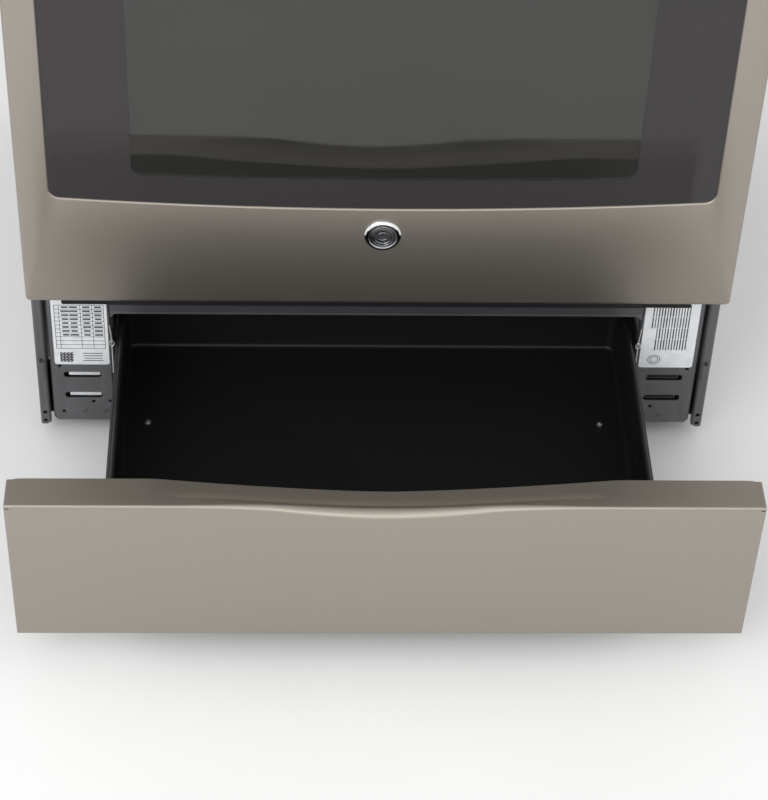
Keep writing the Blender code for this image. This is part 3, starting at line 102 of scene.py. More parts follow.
class RangeSizes(bpy.types.PropertyGroup):
    """Sizes of the trim and of the pressed sheet."""

    sheet: length("Sheet", 0.0015, "Thickness of the folded steel sheet")
    bend: length("Bend radius", 0.0011, "Inner radius of the folds in the chassis sheet")
    edge: length("Eased edge", 0.0003, "How far the sheared edges of the sheet are eased")
    scoop_half: length("Scoop half width", 0.232, "Half the width of the finger scoop in the drawer's lip")
    scoop_depth: length("Scoop depth", 0.0175, "How far the back of the scoop is pressed down")
    scoop_set_in: length("Scoop set-in", 0.005, "Distance from the fold to the scoop's crease in the middle")
    scoop_sweep: length("Scoop sweep", 0.0124, "How much further back the crease lies at the scoop's ends")
    scoop_ramp: length("Scoop ramp", 0.008, "Run over which the lip falls into the scoop")
    fold_dip: length("Fold dip", 0.006, "How far the fold is pressed down in the middle")
    fold_end: length("Fold radius at the ends", 0.0022, "Radius of the lip's fold at its ends")
    fold_middle: length("Fold radius in the middle", 0.0085, "Radius of the lip's fold in the middle")
    window_roll: length("Window roll", 0.0020, "Radius of the steel rolled in round the door's window")
    window_half: length("Clear window half width", 0.259, "Half the width of the door glass's clear part")
    window_low: length("Clear window bottom", 0.413, "Height of the clear part's lower corners")
    window_high: length("Clear window top", 0.668, "Height of the clear part's upper corners")
    gasket: length("Gasket", 0.0058, "Diameter of the woven door gasket")
    screw: length("Screw head", 0.0078, "Width of a screw's head with its washer flange")
    label_bottom: length("Label bottom", 0.1075, "Height of the lower edge of the rating labels")
    slots: IntProperty(name="Vent slots", description="Vent slots in the top of the guard", default=46, min=2)
    ports: IntProperty(name="Burner ports", description="Flame ports round a burner", default=36, min=6)
    ticks: IntProperty(name="Dial ticks", description="Marks round each knob", default=11, min=2)


class RangeColours(bpy.types.PropertyGroup):
    """Colours of the finishes, in linear light."""

    slate: colour("Slate steel", (0.341, 0.308, 0.257), "Tinted brushed steel of the door and drawer")
    chassis: colour("Chassis paint", (0.088, 0.089, 0.094), "Paint of the side panels and front plates")
    crossbar: colour("Crossbar paint", (0.055, 0.057, 0.064), "Paint of the bar under the door")
    enamel: colour("Enamel", (0.007, 0.007, 0.0075), "Porcelain enamel of the cooktop, oven and drawer pan")
    fleck: colour("Enamel fleck", (0.16, 0.17, 0.19), "Specks in the oven's enamel")
    frit: colour("Frit", (0.040, 0.037, 0.039), "Printed border of the door glass")
    pane: colour("Pane", (0.30, 0.30, 0.28), "Tint of the clear part of the glass")
    zinc: colour("Zinc", (0.58, 0.58, 0.57), "Zinc plate of the slides, legs and back")
    iron: colour("Cast iron", (0.017, 0.017, 0.018), "Grates and burner caps")
    casting: colour("Aluminium", (0.56, 0.56, 0.56), "Cast burner heads")
    chrome: colour("Chrome", (0.80, 0.80, 0.81), "Badge ring, racks and handle trim")
    brass: colour("Brass", (0.60, 0.43, 0.19), "Valves and their stems")
    nylon: colour("Nylon", (0.70, 0.69, 0.64), "Slide rollers")
    paper: colour("Label", (0.76, 0.78, 0.80), "Face of the rating labels")
    ink: colour("Ink", (0.055, 0.058, 0.065), "Rules printed on the labels")
    mark: colour("Dial marks", (0.62, 0.62, 0.60), "Marks printed round the knobs and on the controls")
    weave: colour("Gasket weave", (0.34, 0.34, 0.33), "Glass-fibre braid of the door gasket")
    ceramic: colour("Ceramic", (0.78, 0.76, 0.71), "Igniters beside the burners")
    floor: colour("Floor", (0.93, 0.93, 0.93), "Studio floor")


def sizes():
    return bpy.context.scene.range_sizes


def colours():
    return bpy.context.scene.range_colours


# ---------------------------------------------------------------------------------------------------------
# Node trees
# ---------------------------------------------------------------------------------------------------------
def add_node(tree, kind, inputs=None, **settings):
    """A node with its settings, and each named or numbered input set to a value or linked to a socket."""
    made = tree.nodes.new(kind)
    for key, value in settings.items():
        setattr(made, key, value)
    for key, value in (inputs or {}).items():
        if isinstance(value, bpy.types.NodeSocket):
            tree.links.new(value, made.inputs[key])
        else:
            made.inputs[key].default_value = value
    return made


def surface(name, base, roughness, metallic=0.0, **constants):
    """A material of that name, with its tree, its Principled shader, set up, and its Object coordinates."""
    material = bpy.data.materials.new(name)
    material.use_nodes = True
    tree = material.node_tree
    shader = tree.nodes["Principled BSDF"]
    shader.inputs["Base Color"].default_value = (*base, 1.0)
    shader.inputs["Roughness"].default_value = roughness
    shader.inputs["Metallic"].default_value = metallic
    for key, value in constants.items():
        shader.inputs[key.replace("_", " ")].default_value = value
    place = add_node(tree, "ShaderNodeTexCoord").outputs["Object"]
    return material, tree, shader, place


def noise(tree, place, stretch, detail=2.0, roughness=0.5):
    """Noise whose grains repeat this many times per metre along X, Y and Z."""
    spread = add_node(tree, "ShaderNodeMapping", {"Vector": place, "Scale": stretch})
    inputs = {"Vector": spread.outputs[0], "Scale": 1.0, "Detail": detail, "Roughness": roughness}
    return add_node(tree, "ShaderNodeTexNoise", inputs).outputs["Fac"]


def spread_value(tree, value, low, high, start=0.3, end=0.7):
    inputs = {"Value": value, "From Min": start, "From Max": end, "To Min": low, "To Max": high}
    return add_node(tree, "ShaderNodeMapRange", inputs).outputs[0]


def shaded(base, share):
    return tuple(channel * share for channel in base)


def blend(tree, shader, share, first, last):
    """Makes the base colour go from the first colour to the last as the share goes from 0 to 1."""
    inputs = {0: share, 6: (*first, 1.0), 7: (*last, 1.0)}
    mix = add_node(tree, "ShaderNodeMix", inputs, data_type="RGBA")
    tree.links.new(mix.outputs[2], shader.inputs["Base Color"])


def tint(tree, shader, value, base, low, high, start=0.3, end=0.7):
    """Makes the base colour swing between two shares of itself as the value goes from start to end."""
    share = spread_value(tree, value, 0.0, 1.0, start, end)
    blend(tree, shader, share, shaded(base, low), shaded(base, high))


def cells(tree, place, per_metre, **inputs):
    """Voronoi cells, this many of them along a metre."""
    spread = add_node(tree, "ShaderNodeMapping", {"Vector": place, "Scale": (per_metre,) * 3})
    return add_node(tree, "ShaderNodeTexVoronoi", {"Vector": spread.outputs[0], "Scale": 1.0, **inputs})


def roughen(tree, shader, value, low, high):
    tree.links.new(spread_value(tree, value, low, high), shader.inputs["Roughness"])


def bump(tree, shader, value, height, strength=1.0):
    """Raises the surface by up to this height, in metres."""
    made = add_node(tree, "ShaderNodeBump", {"Height": value, "Distance": height, "Strength": strength})
    tree.links.new(made.outputs[0], shader.inputs["Normal"])


def slate_steel():
    """Tinted stainless steel with a fine horizontal grain and faint cloudiness."""
    base = colours().slate
    material, tree, shader, place = surface("slate_steel", base, 0.33, 1.0)
    fine = noise(tree, place, (14, 1500, 1500), 3.0, 0.6)
    streaks = noise(tree, place, (4, 240, 240), 4.0, 0.6)
    grain = add_node(tree, "ShaderNodeMix", {0: 0.5, 2: fine, 3: streaks}).outputs[0]
    cloud = noise(tree, place, (5, 9, 9), 2.0)
    both = add_node(tree, "ShaderNodeMix", {0: 0.35, 2: grain, 3: cloud}).outputs[0]
    tint(tree, shader, both, base, 0.90, 1.10)
    roughen(tree, shader, both, 0.23, 0.36)
    bump(tree, shader, grain, 0.000012)
    return material


def paint(name, base, roughness=0.46):
    """Powder coat with a faint orange peel."""
    material, tree, shader, place = surface(name, base, roughness)
    peel = noise(tree, place, (420, 420, 420), 2.0)
    cloud = noise(tree, place, (11, 11, 11), 3.0)
    tint(tree, shader, cloud, base, 0.90, 1.10)
    roughen(tree, shader, peel, roughness - 0.07, roughness + 0.08)
    bump(tree, shader, peel, 0.00007)
    return material


def black_enamel():
    """Porcelain enamel: deep gloss with a slow ripple."""
    base = colours().enamel
    material, tree, shader, place = surface("black_enamel", base, 0.11, Coat_Weight=0.35, Coat_Roughness=0.05)
    ripple = noise(tree, place, (70, 70, 70), 1.0)
    tint(tree, shader, noise(tree, place, (18, 18, 18), 3.0), base, 0.8, 1.35)
    roughen(tree, shader, noise(tree, place, (30, 30, 30), 4.0), 0.08, 0.17)
    bump(tree, shader, ripple, 0.00012)
    return material


def oven_enamel():
    """Dark enamel strewn with pale specks."""
    base = colours().enamel
    material, tree, shader, place = surface("oven_enamel", base, 0.22, Coat_Weight=0.2, Coat_Roughness=0.1)
    distance = cells(tree, place, 240, Randomness=1.0).outputs["Distance"]
    speck = spread_value(tree, distance, 1.0, 0.0, 0.10, 0.22)
    blend(tree, shader, speck, shaded(base, 2.2), colours().fleck)
    bump(tree, shader, noise(tree, place, (150, 150, 150), 2.0), 0.00008)
    return material


def zinc_plate():
    """Zinc plate with faint spangles."""
    base = colours().zinc
    material, tree, shader, place = surface("zinc_plate", base, 0.34, 1.0)
    shade = cells(tree, place, 150).outputs["Color"]
    spangle = add_node(tree, "ShaderNodeSeparateColor", {"Color": shade}).outputs[0]
    tint(tree, shader, spangle, base, 0.92, 1.07, 0.0, 1.0)
    roughen(tree, shader, spangle, 0.28, 0.46)
    bump(tree, shader, noise(tree, place, (600, 600, 600), 2.0), 0.00002)
    return material


def cast_iron():
    """Matt enamelled cast iron with a sandy skin."""
    base = colours().iron
    material, tree, shader, place = surface("cast_iron", base, 0.62)
    sand = noise(tree, place, (900, 900, 900), 4.0, 0.7)
    tint(tree, shader, noise(tree, place, (60, 60, 60), 4.0), base, 0.7, 1.6)
    roughen(tree, shader, sand, 0.50, 0.75)
    bump(tree, shader, sand, 0.00022)
    return material


def metal(name, base, roughness, grain=(500, 500, 500), height=0.00002):
    """Plain metal with a fine grain."""
    material, tree, shader, place = surface(name, base, roughness, 1.0)
    fine = noise(tree, place, grain, 3.0)
    tint(tree, shader, noise(tree, place, (25, 25, 25), 3.0), base, 0.93, 1.06)
    roughen(tree, shader, fine, roughness * 0.8, roughness * 1.25)
    bump(tree, shader, fine, height)
    return material


def plain(name, base, roughness, grain=300, height=0.00003, **constants):
    """Moulded or printed matter with a slight mottle."""
    material, tree, shader, place = surface(name, base, roughness, **constants)
    tint(tree, shader, noise(tree, place, (grain / 8,) * 3, 3.0), base, 0.92, 1.07)
    bump(tree, shader, noise(tree, place, (grain,) * 3, 3.0), height)
    return material


def frit_glass():
    """Glass over a printed border: a fine dot screen under a smooth face."""
    base = colours().frit
    material, tree, shader, place = surface("frit_glass", base, 0.09, Specular_IOR_Level=0.22)
    dots = cells(tree, place, 700, Randomness=0.0).outputs["Distance"]
    tint(tree, shader, dots, base, 1.12, 0.90, 0.2, 0.6)
    roughen(tree, shader, noise(tree, place, (6, 6, 6), 3.0), 0.06, 0.12)
    return material


def window_glass():
    """Smoked glass that lets a little light through."""
    base = colours().pane
    material, tree, shader, place = surface("window_glass", base, 0.03, Transmission_Weight=0.94, IOR=1.5)
    tint(tree, shader, noise(tree, place, (4, 4, 4), 2.0), base, 0.94, 1.05)
    roughen(tree, shader, noise(tree, place, (7, 7, 7), 4.0), 0.015, 0.05)
    return material


def braid():
    """Glass-fibre braid: two crossing sets of threads."""
    base = colours().weave
    material, tree, shader, place = surface("braid", base, 0.85)
    waves = []
    for slant in (1, -1):
        turned = add_node(tree, "ShaderNodeMapping", {"Vector": place, "Rotation": (0, slant * 0.8, 0)})
        inputs = {"Vector": turned.outputs[0], "Scale": 170.0, "Distortion": 1.0}
        waves.append(add_node(tree, "ShaderNodeTexWave", inputs).outputs["Fac"])
    both = add_node(tree, "ShaderNodeMath", {0: waves[0], 1: waves[1]}, operation="MAXIMUM").outputs[0]
    tint(tree, shader, both, base, 0.35, 1.15, 0.2, 0.9)
    bump(tree, shader, both, 0.0005)
    return material


FINISHES = {
    "slate_steel": slate_steel,
    "chassis_paint": lambda: paint("chassis_paint", colours().chassis),
    "crossbar_paint": lambda: paint("crossbar_paint", colours().crossbar, 0.40),
    "black_enamel": black_enamel,
    "oven_enamel": oven_enamel,
    "zinc_plate": zinc_plate,
    "cast_iron": cast_iron,
    "cast_aluminium": lambda: metal("cast_aluminium", colours().casting, 0.42, (260, 260, 260), 0.00008),
    "burner_tube": lambda: metal("burner_tube", shaded(colours().casting, 0.5), 0.5),
    "chrome": lambda: metal("chrome", colours().chrome, 0.20, (120, 120, 120), 0.000004),
    "brass": lambda: metal("brass", colours().brass, 0.3),
    "nylon": lambda: plain("nylon", colours().nylon, 0.45, Subsurface_Weight=0.15, Subsurface_Scale=0.002),
    "label_paper": lambda: plain("label_paper", colours().paper, 0.42, 900, 0.00001),
    "label_ink": lambda: plain("label_ink", colours().ink, 0.5, 900, 0.00001),
    "dial_mark": lambda: plain("dial_mark", colours().mark, 0.45, 900, 0.00001),
    "ceramic": lambda: plain("ceramic", colours().ceramic, 0.35),
    # Near-black painted shade, laid where only shade makes a thing dark: slots, ports, holes, gaps and the
    # bar under the door.
    "painted_shade": lambda: plain("painted_shade", (0.004, 0.004, 0.004), 0.8),
    "badge_enamel": lambda: metal("badge_enamel", (0.36, 0.37, 0.39), 0.30, (120, 120, 120), 0.000006),
    "control_glass": lambda: plain(
        "control_glass", (0.006, 0.006, 0.007), 0.07, 40, 0.00002, Coat_Weight=0.5
    ),
    "frit_glass": frit_glass,
    "window_glass": window_glass,
    "braid": braid,
}


def finish(name):
    """The material of that name: the one in the file, which may be the frame's own, or else a new one."""
    return bpy.data.materials.get(name) or FINISHES[name]()


# ---------------------------------------------------------------------------------------------------------
# Outlines, in a plane
# ---------------------------------------------------------------------------------------------------------
def round_path(path, radii, steps=5):
    """The open path with its inner corners turned into arcs of these radii."""
    eased = [Vector(path[0])]
    for before, corner, after, radius in zip(path, path[1:], path[2:], radii[1:]):
        corner = Vector(corner)
        back, on = (Vector(before) - corner).normalized(), (Vector(after) - corner).normalized()
        half = back.angle(on) / 2
        centre = corner + (back + on).normalized() * (radius / math.sin(half))
        start = corner + back * (radius / math.tan(half)) - centre
        end = corner + on * (radius / math.tan(half)) - centre
        turn = start.angle_signed(end)
        eased += [centre + Matrix.Rotation(-turn * step / steps, 2) @ start for step in range(steps + 1)]
    return eased + [Vector(path[-1])]


def round_loop(corners, radius, steps=5):
    """The closed outline with each corner turned into an arc. radius is one number or one for each corner."""
    radii = radius if isinstance(radius, (list, tuple)) else [radius] * len(corners)
    outline = []
    for index, corner in enumerate(corners):
        near = (Vector(corners[index - 1]) + Vector(corner)) / 2
        far = (Vector(corners[(index + 1) % len(corners)]) + Vector(corner)) / 2
        outline += round_path([near, corner, far], [0, radii[index]], steps)[1:-1]
    return outline


def offset_path(path, distance):
    """The path moved sideways, to its left for a positive distance."""
    moved = []
    for index, point in enumerate(path):
        ends = ((max(index - 1, 0), index), (index, min(index + 1, len(path) - 1)))
        runs = [Vector(path[b]) - Vector(path[a]) for a, b in ends if a != b]
        sides = [Vector((-run.y, run.x)).normalized() for run in runs]
        side = sum(sides, Vector((0, 0))).normalized()
        moved.append(Vector(point) + side * (distance / side.dot(sides[0])))
    return moved


def folded(path, sheet, bend):
    """Outline of sheet folded along a path with rounded bends, its thickness laid to the left of the path."""
    radii, other = [0.0], [0.0]
    for before, corner, after in zip(path, path[1:], path[2:]):
        on, off = Vector(corner) - Vector(before), Vector(after) - Vector(corner)
        turns_left = on.cross(off) > 0
        radii.append(bend + sheet if turns_left else bend)
        other.append(bend if turns_left else bend + sheet)
    return round_path(path, radii) + round_path(offset_path(path, sheet), other)[::-1]


def window_loop(half, low, high, radius, sag=0.0, rise=0.0, side=28, corner=7):
    """Outline of a wide window from its lower left corner, always with the same number of points: its lower
    edge bows down by sag and its upper edge bows up by rise."""
    outline = []
    corners = ((-1, low, -1), (1, low, -1), (1, high, 1), (-1, high, 1))
    for index, (sign, level, up) in enumerate(corners):
        centre = Vector((sign * (half - radius), level - up * radius))
        start = math.pi + index * math.pi / 2
        for step in range(corner + 1):
            turn = start + math.pi / 2 * step / corner
            outline.append(centre + radius * Vector((math.cos(turn), math.sin(turn))))
        following = corners[(index + 1) % 4]
        first = outline[-1]
        last = Vector((following[0] * (half - radius), level)) if index % 2 == 0 else None
        if last is None:
            last = Vector((sign * half, following[1] - following[2] * radius))
        bow = (-sag, 0.0, rise, 0.0)[index]
        for step in range(1, side):
            share = step / side
            outline.append(first.lerp(last, share) + Vector((0, bow * 4 * share * (1 - share))))
    return outline


def circle(radius, count, centre=(0.0, 0.0)):
    turns = (2 * math.pi * index / count for index in range(count))
    x, y = centre
    return [Vector((x + radius * math.cos(turn), y + radius * math.sin(turn))) for turn in turns]


def rectangle(left, right, low, high):
    return [(left, low), (right, low), (right, high), (left, high)]


def sided(outline, sign):
    """The outline on the right-hand side, or its mirror image on the left."""
    return [(sign * x, other) for x, other in outline]


def quarter(steps):
    """Angles from 0 to a right angle."""
    return [math.pi / 2 * step / steps for step in range(steps + 1)]


def evenly(reach, count):
    """Places spaced evenly from -reach to reach."""
    return [reach * (2 * k / (count - 1) - 1) for k in range(count)]


# ---------------------------------------------------------------------------------------------------------
# Solids
# ---------------------------------------------------------------------------------------------------------
class Shape:
    """Closed shells gathered into one mesh, each face with the number of its finish."""

    def __init__(self):
        self.points = []
        self.faces = []
        self.finishes = []

    def add(self, points, faces, number=0):
        first = len(self.points)
        self.points += [tuple(point) for point in points]
        self.faces += [tuple(first + corner for corner in face) for face in faces]
        self.finishes += number if isinstance(number, list) else [number] * len(faces)
        return self

    def extrude(self, outline, axis, low, high, number=0):
        """A prism: the outline holds (depth, height), (x, height) or (x, depth) pairs."""
        place = {
            "X": lambda a, b, along: (along, at(a), b),
            "Y": lambda a, b, along: (a, at(along), b),
            "Z": lambda a, b, along: (a, at(b), along),
        }[axis]
        rings = [[place(a, b, along) for a, b in outline] for along in (low, high)]
        return self.add(*lofted(rings), number)

    def turn(self, profile, count, matrix, number=0, closed=False):
        """A solid turned about the matrix's Z from a profile of (radius, height). A closed one is a ring."""
        rings = []
        for radius, height in profile:
            rings.append([matrix @ Vector((*point, height)) for point in circle(radius, count)])
        return self.add(*lofted(rings, closed), number)

    def tube(self, route, radius, count=12, number=0, closed=False):
        """A round bar along a route of points, with domed ends unless it is closed."""
        route = [Vector(point) for point in route]
        rings = []
        side = None
        for index, point in enumerate(route):
            before = route[index - 1] if index or closed else point
            after = route[(index + 1) % len(route)] if index < len(route) - 1 or closed else point
            along = (after - before).normalized()
            start = side or along.orthogonal()
            side = (start - along * start.dot(along)).normalized()
            across = along.cross(side)
            size = radius[index] if isinstance(radius, list) else radius
            rings.append([point + size * (side * a + across * b) for a, b in circle(1.0, count)])
        return self.add(*lofted(rings, closed), number)

    def mirror(self):
        """The shells and their mirror images across X = 0."""
        points = [(-x, y, z) for x, y, z in self.points]
        return self.add(points, [face[::-1] for face in self.faces], list(self.finishes))

    def piece(self, name, finish_names, bend=32.0, edge=0.0, cutters=()):
        """The object: cut by the cutters, its sharp edges eased, its faces outwards, its rounds smooth."""
        mesh = bpy.data.meshes.new(name)
        mesh.from_pydata(self.points, [], self.faces)
        for finish_name in finish_names:
            mesh.materials.append(finish(finish_name))
        mesh.polygons.foreach_set("material_index", self.finishes)
        shape = bmesh.new()
        shape.from_mesh(mesh)
        bmesh.ops.remove_doubles(shape, verts=shape.verts, dist=1e-6)
        bmesh.ops.recalc_face_normals(shape, faces=shape.faces)
        shape.to_mesh(mesh)
        shape.free()
        made = bpy.data.objects.new(name, mesh)
        bpy.context.scene.collection.objects.link(made)
        if cutters:
            pierce(made, cutters)
        if edge:
            ease(made.data, edge, bend)
        made.data.shade_smooth()
        made.data.set_sharp_from_angle(angle=math.radians(bend))
        return made


def lofted(rings, closed=False):
    """Points and faces of the skin through rings of equal length: capped at its ends, or closed on itself."""
    count = len(rings[0])
    points = [point for ring in rings for point in ring]
    faces = []
    for index in range(len(rings) if closed else len(rings) - 1):
        start, following = index * count, (index + 1) % len(rings) * count
        for corner in range(count):
            after = (corner + 1) % count
            faces.append((start + corner, start + after, following + after, following + corner))
    if not closed:
        faces.append(tuple(range(count)))
        faces.append(tuple(range((len(rings) - 1) * count, len(rings) * count)))
    return points, faces


def settled_mesh(piece):
    """Gives the piece the mesh that its modifiers make, and takes them away."""
    mesh = bpy.data.meshes.new_from_object(piece.evaluated_get(bpy.context.evaluated_depsgraph_get()))
    piece.modifiers.clear()
    piece.data = mesh
    return mesh


def pierce(piece, cutters):
    """Cuts the outlines out of the piece. Each is (axis, outline, low, high)."""
    tool = Shape()
    for axis, outline, low, high in cutters:
        tool.extrude(outline, axis, low, high)
    cutter = tool.piece("cutter", [])
    modifier = piece.modifiers.new("pierce", "BOOLEAN")
    modifier.operation = "DIFFERENCE"
    modifier.solver = "EXACT"
    modifier.use_self = True
    modifier.object = cutter
    settled_mesh(piece)
    bpy.data.objects.remove(cutter)


def ease(mesh, width, angle):
    """Rounds off the mesh's sharp edges."""
    shape = bmesh.new()
    shape.from_mesh(mesh)
    flat, angle = math.radians(0.5), math.radians(angle)
    bmesh.ops.dissolve_limit(shape, angle_limit=flat, verts=shape.verts, edges=shape.edges)
    sharp = [edge for edge in shape.edges if edge.is_manifold and edge.calc_face_angle() > angle]
    rounding = {"offset": width, "segments": 2, "profile": 0.6, "affect": "EDGES", "clamp_overlap": True}
    bmesh.ops.bevel(shape, geom=sharp, **rounding)
    bmesh.ops.recalc_face_normals(shape, faces=shape.faces)
    shape.to_mesh(mesh)
    shape.free()


def settle(piece, body, slot, *nodes):
    """Fixes a finished piece to its body, and hides the nodes that it stands for."""
    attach(piece, body)
    if nodes:
        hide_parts(*nodes)
    return piece


# ---------------------------------------------------------------------------------------------------------
# Geometry Nodes
# ---------------------------------------------------------------------------------------------------------
def growth(name, inputs):
    """A new tree with a Geometry input, named size inputs and a Geometry output, and its input node."""
    tree = bpy.data.node_groups.new(name, "GeometryNodeTree")
    tree.interface.new_socket("Geometry", in_out="OUTPUT", socket_type="NodeSocketGeometry")
    tree.interface.new_socket("Geometry", in_out="INPUT", socket_type="NodeSocketGeometry")
    for title, kind in inputs.items():
        tree.interface.new_socket(title, in_out="INPUT", socket_type="NodeSocket" + kind)
    return tree, tree.nodes.new("NodeGroupInput")


def end_tree(tree, geometry, material):
    """Realizes the instances and sets their material."""
    whole = add_node(tree, "GeometryNodeRealizeInstances", {0: geometry})
    coated = add_node(tree, "GeometryNodeSetMaterial", {"Geometry": whole.outputs[0], "Material": material})
    tree.links.new(coated.outputs[0], tree.nodes.new("NodeGroupOutput").inputs[0])
    return tree


def grow(name, tree, points, values, aims=None):
    """The piece that the tree makes from these points. aims are the directions that its copies face."""
    host = bpy.data.meshes.new(name)
    host.from_pydata([tuple(point) for point in points], [], [])
    if aims:
        attribute = host.attributes.new("aim", "FLOAT_VECTOR", "POINT")
        for item, aim in zip(attribute.data, aims):
            item.vector = aim
    piece = bpy.data.objects.new(name, host)
    bpy.context.scene.collection.objects.link(piece)
    modifier = piece.modifiers.new("grow", "NODES")
    modifier.node_group = tree
    for socket in tree.interface.items_tree:
        if socket.in_out == "INPUT" and socket.name in values:
            modifier[socket.identifier] = values[socket.name]
    mesh = settled_mesh(piece)
    mesh.shade_smooth()
    mesh.set_sharp_from_angle(angle=math.radians(32))
    return piece


def copies_on(tree, points, copy, **inputs):
    inputs = {"Points": points, "Instance": copy, **inputs}
    return add_node(tree, "GeometryNodeInstanceOnPoints", inputs).outputs[0]


def aimed_copies(tree, points, copy, **inputs):
    """Copies of a shape on the points, each with its Z turned to the point's aim."""
    aim = add_node(tree, "GeometryNodeInputNamedAttribute", {"Name": "aim"}, data_type="FLOAT_VECTOR")
    turn = add_node(tree, "FunctionNodeAlignRotationToVector", {"Vector": aim.outputs[0]}, axis="Z")
    return copies_on(tree, points, copy, Rotation=turn.outputs[0], **inputs)


def lifted(tree, geometry, height):
    """The geometry moved up by the height that a socket gives."""
    move = add_node(tree, "ShaderNodeCombineXYZ", {"Z": height}).outputs[0]
    return add_node(tree, "GeometryNodeTransform", {"Geometry": geometry, "Translation": move}).outputs[0]


def times(tree, value, factor):
    return add_node(tree, "ShaderNodeMath", {0: value, 1: factor}, operation="MULTIPLY").outputs[0]


def screw_tree():
    """Hexagon heads on round washers, one on each point."""
    tree, given = growth("screws", {"Width": "Float"})
    width = given.outputs["Width"]
    washer = {"Vertices": 24, "Radius": times(tree, width, 0.5), "Depth": times(tree, width, 0.12)}
    head = {"Vertices": 6, "Radius": times(tree, width, 0.36), "Depth": times(tree, width, 0.42)}
    boss = {"Vertices": 18, "Radius": times(tree, width, 0.24), "Depth": times(tree, width, 0.50)}
    parts = []
    for size, lift in ((washer, 0.06), (head, 0.21), (boss, 0.25)):
        solid = add_node(tree, "GeometryNodeMeshCylinder", size).outputs["Mesh"]
        parts.append(lifted(tree, solid, times(tree, width, lift)))
    head = add_node(tree, "GeometryNodeJoinGeometry")
    for part in parts:
        tree.links.new(part, head.inputs[0])
    copies = aimed_copies(tree, given.outputs["Geometry"], head.outputs[0])
    return end_tree(tree, copies, finish("zinc_plate"))


def strip_tree(name, finish_name):
    """Flat bars of a given length, width and thickness on the points, each facing its point's aim."""
    sides = ("Length", "Width", "Thickness")
    tree, given = growth(name, {**dict.fromkeys(sides, "Float"), "Uneven": "Float", "Seed": "Int"})
    inputs = {index: given.outputs[side] for index, side in enumerate(sides)}
    size = add_node(tree, "ShaderNodeCombineXYZ", inputs)
    bar = add_node(tree, "GeometryNodeMeshCube", {"Size": size.outputs[0]}).outputs["Mesh"]
    shortest = add_node(tree, "ShaderNodeMath", {0: 1.0, 1: given.outputs["Uneven"]}, operation="SUBTRACT")
    inputs = {2: shortest.outputs[0], 3: 1.0, 8: given.outputs["Seed"]}
    share = add_node(tree, "FunctionNodeRandomValue", inputs, data_type="FLOAT")
    stretch = add_node(tree, "ShaderNodeCombineXYZ", {0: share.outputs[1], 1: 1.0, 2: 1.0}).outputs[0]
    copies = aimed_copies(tree, given.outputs["Geometry"], bar, Scale=stretch)
    return end_tree(tree, copies, finish(finish_name))


def rod_tree():
    """Round rods along Y on the points."""
    tree, given = growth("rods", {"Radius": "Float", "Length": "Float"})
    inputs = {"Vertices": 12, "Radius": given.outputs["Radius"], "Depth": given.outputs["Length"]}
    rod = add_node(tree, "GeometryNodeMeshCylinder", inputs).outputs["Mesh"]
    inputs = {"Geometry": rod, "Rotation": (math.pi / 2, 0, 0)}
    laid = add_node(tree, "GeometryNodeTransform", inputs).outputs[0]
    return end_tree(tree, copies_on(tree, given.outputs["Geometry"], laid), finish("chrome"))


def thread_tree():
    """Turns of a screw thread: thin rings stacked along Z on each point."""
    tree, given = growth("threads", {"Radius": "Float", "Pitch": "Float", "Turns": "Int"})
    pitch = given.outputs["Pitch"]
    step = add_node(tree, "ShaderNodeCombineXYZ", {"Z": pitch}).outputs[0]
    line = add_node(tree, "GeometryNodeMeshLine", {"Count": given.outputs["Turns"], "Offset": step})
    inputs = {"Vertices": 24, "Radius": given.outputs["Radius"], "Depth": times(tree, pitch, 0.45)}
    ring = add_node(tree, "GeometryNodeMeshCylinder", inputs).outputs["Mesh"]
    post = copies_on(tree, line.outputs[0], ring)
    return end_tree(tree, copies_on(tree, given.outputs["Geometry"], post), finish("zinc_plate"))


# ---------------------------------------------------------------------------------------------------------
# Shared parts
# ---------------------------------------------------------------------------------------------------------
def span(node):
    """The node's box as its lowest and highest x, depth and height."""
    low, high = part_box(node)
    return (low.x, low.y - FRONT_EDGE, low.z), (high.x, high.y - FRONT_EDGE, high.z)


def eased_copy(node, finish_name, slot, width, angle=32.0):
    """The node's own mesh, merged and with its sharp edges rounded off, in the node's place."""
    source = frame["nodes"][node]
    mesh = source.data.copy()
    mesh.materials.clear()
    mesh.materials.append(finish(finish_name))
    shape = bmesh.new()
    shape.from_mesh(mesh)
    bmesh.ops.remove_doubles(shape, verts=shape.verts, dist=1e-5)
    shape.to_mesh(mesh)
    shape.free()
    ease(mesh, width, angle)
    mesh.shade_smooth()
    mesh.set_sharp_from_angle(angle=math.radians(32))
    piece = bpy.data.objects.new(node + "_eased", mesh)
    bpy.context.scene.collection.objects.link(piece)
    return settle(piece, source["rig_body"], slot, node)


def facing(x, back, height, direction=-1):
    """The matrix that turns +Z to the front at a point, or to the back for a direction of 1."""
    return Matrix.Translation((x, at(back), height)) @ Matrix.Rotation(-direction * math.pi / 2, 4, "X")


def screws(name, body, spots):
    """Screws of one body. Each spot is (x, depth, height, direction that its head faces)."""
    points = [(x, at(back), z) for x, back, z, _ in spots]
    aims = [spot[3] for spot in spots]
    piece = grow(name, screw_tree(), points, {"Width": sizes().screw}, aims)
    return settle(piece, body, "zinc")


def strips(name, body, slot, finish_name, points, aim, size, uneven=0.0, seed=1):
    """Flat bars of one (length, width, thickness), facing one way. uneven is how much shorter some may be."""
    values = {"Length": size[0], "Width": size[1], "Thickness": size[2], "Uneven": uneven, "Seed": seed}
    piece = grow(name, strip_tree(name, finish_name), points, values, [aim] * len(points))
    return settle(piece, body, slot)


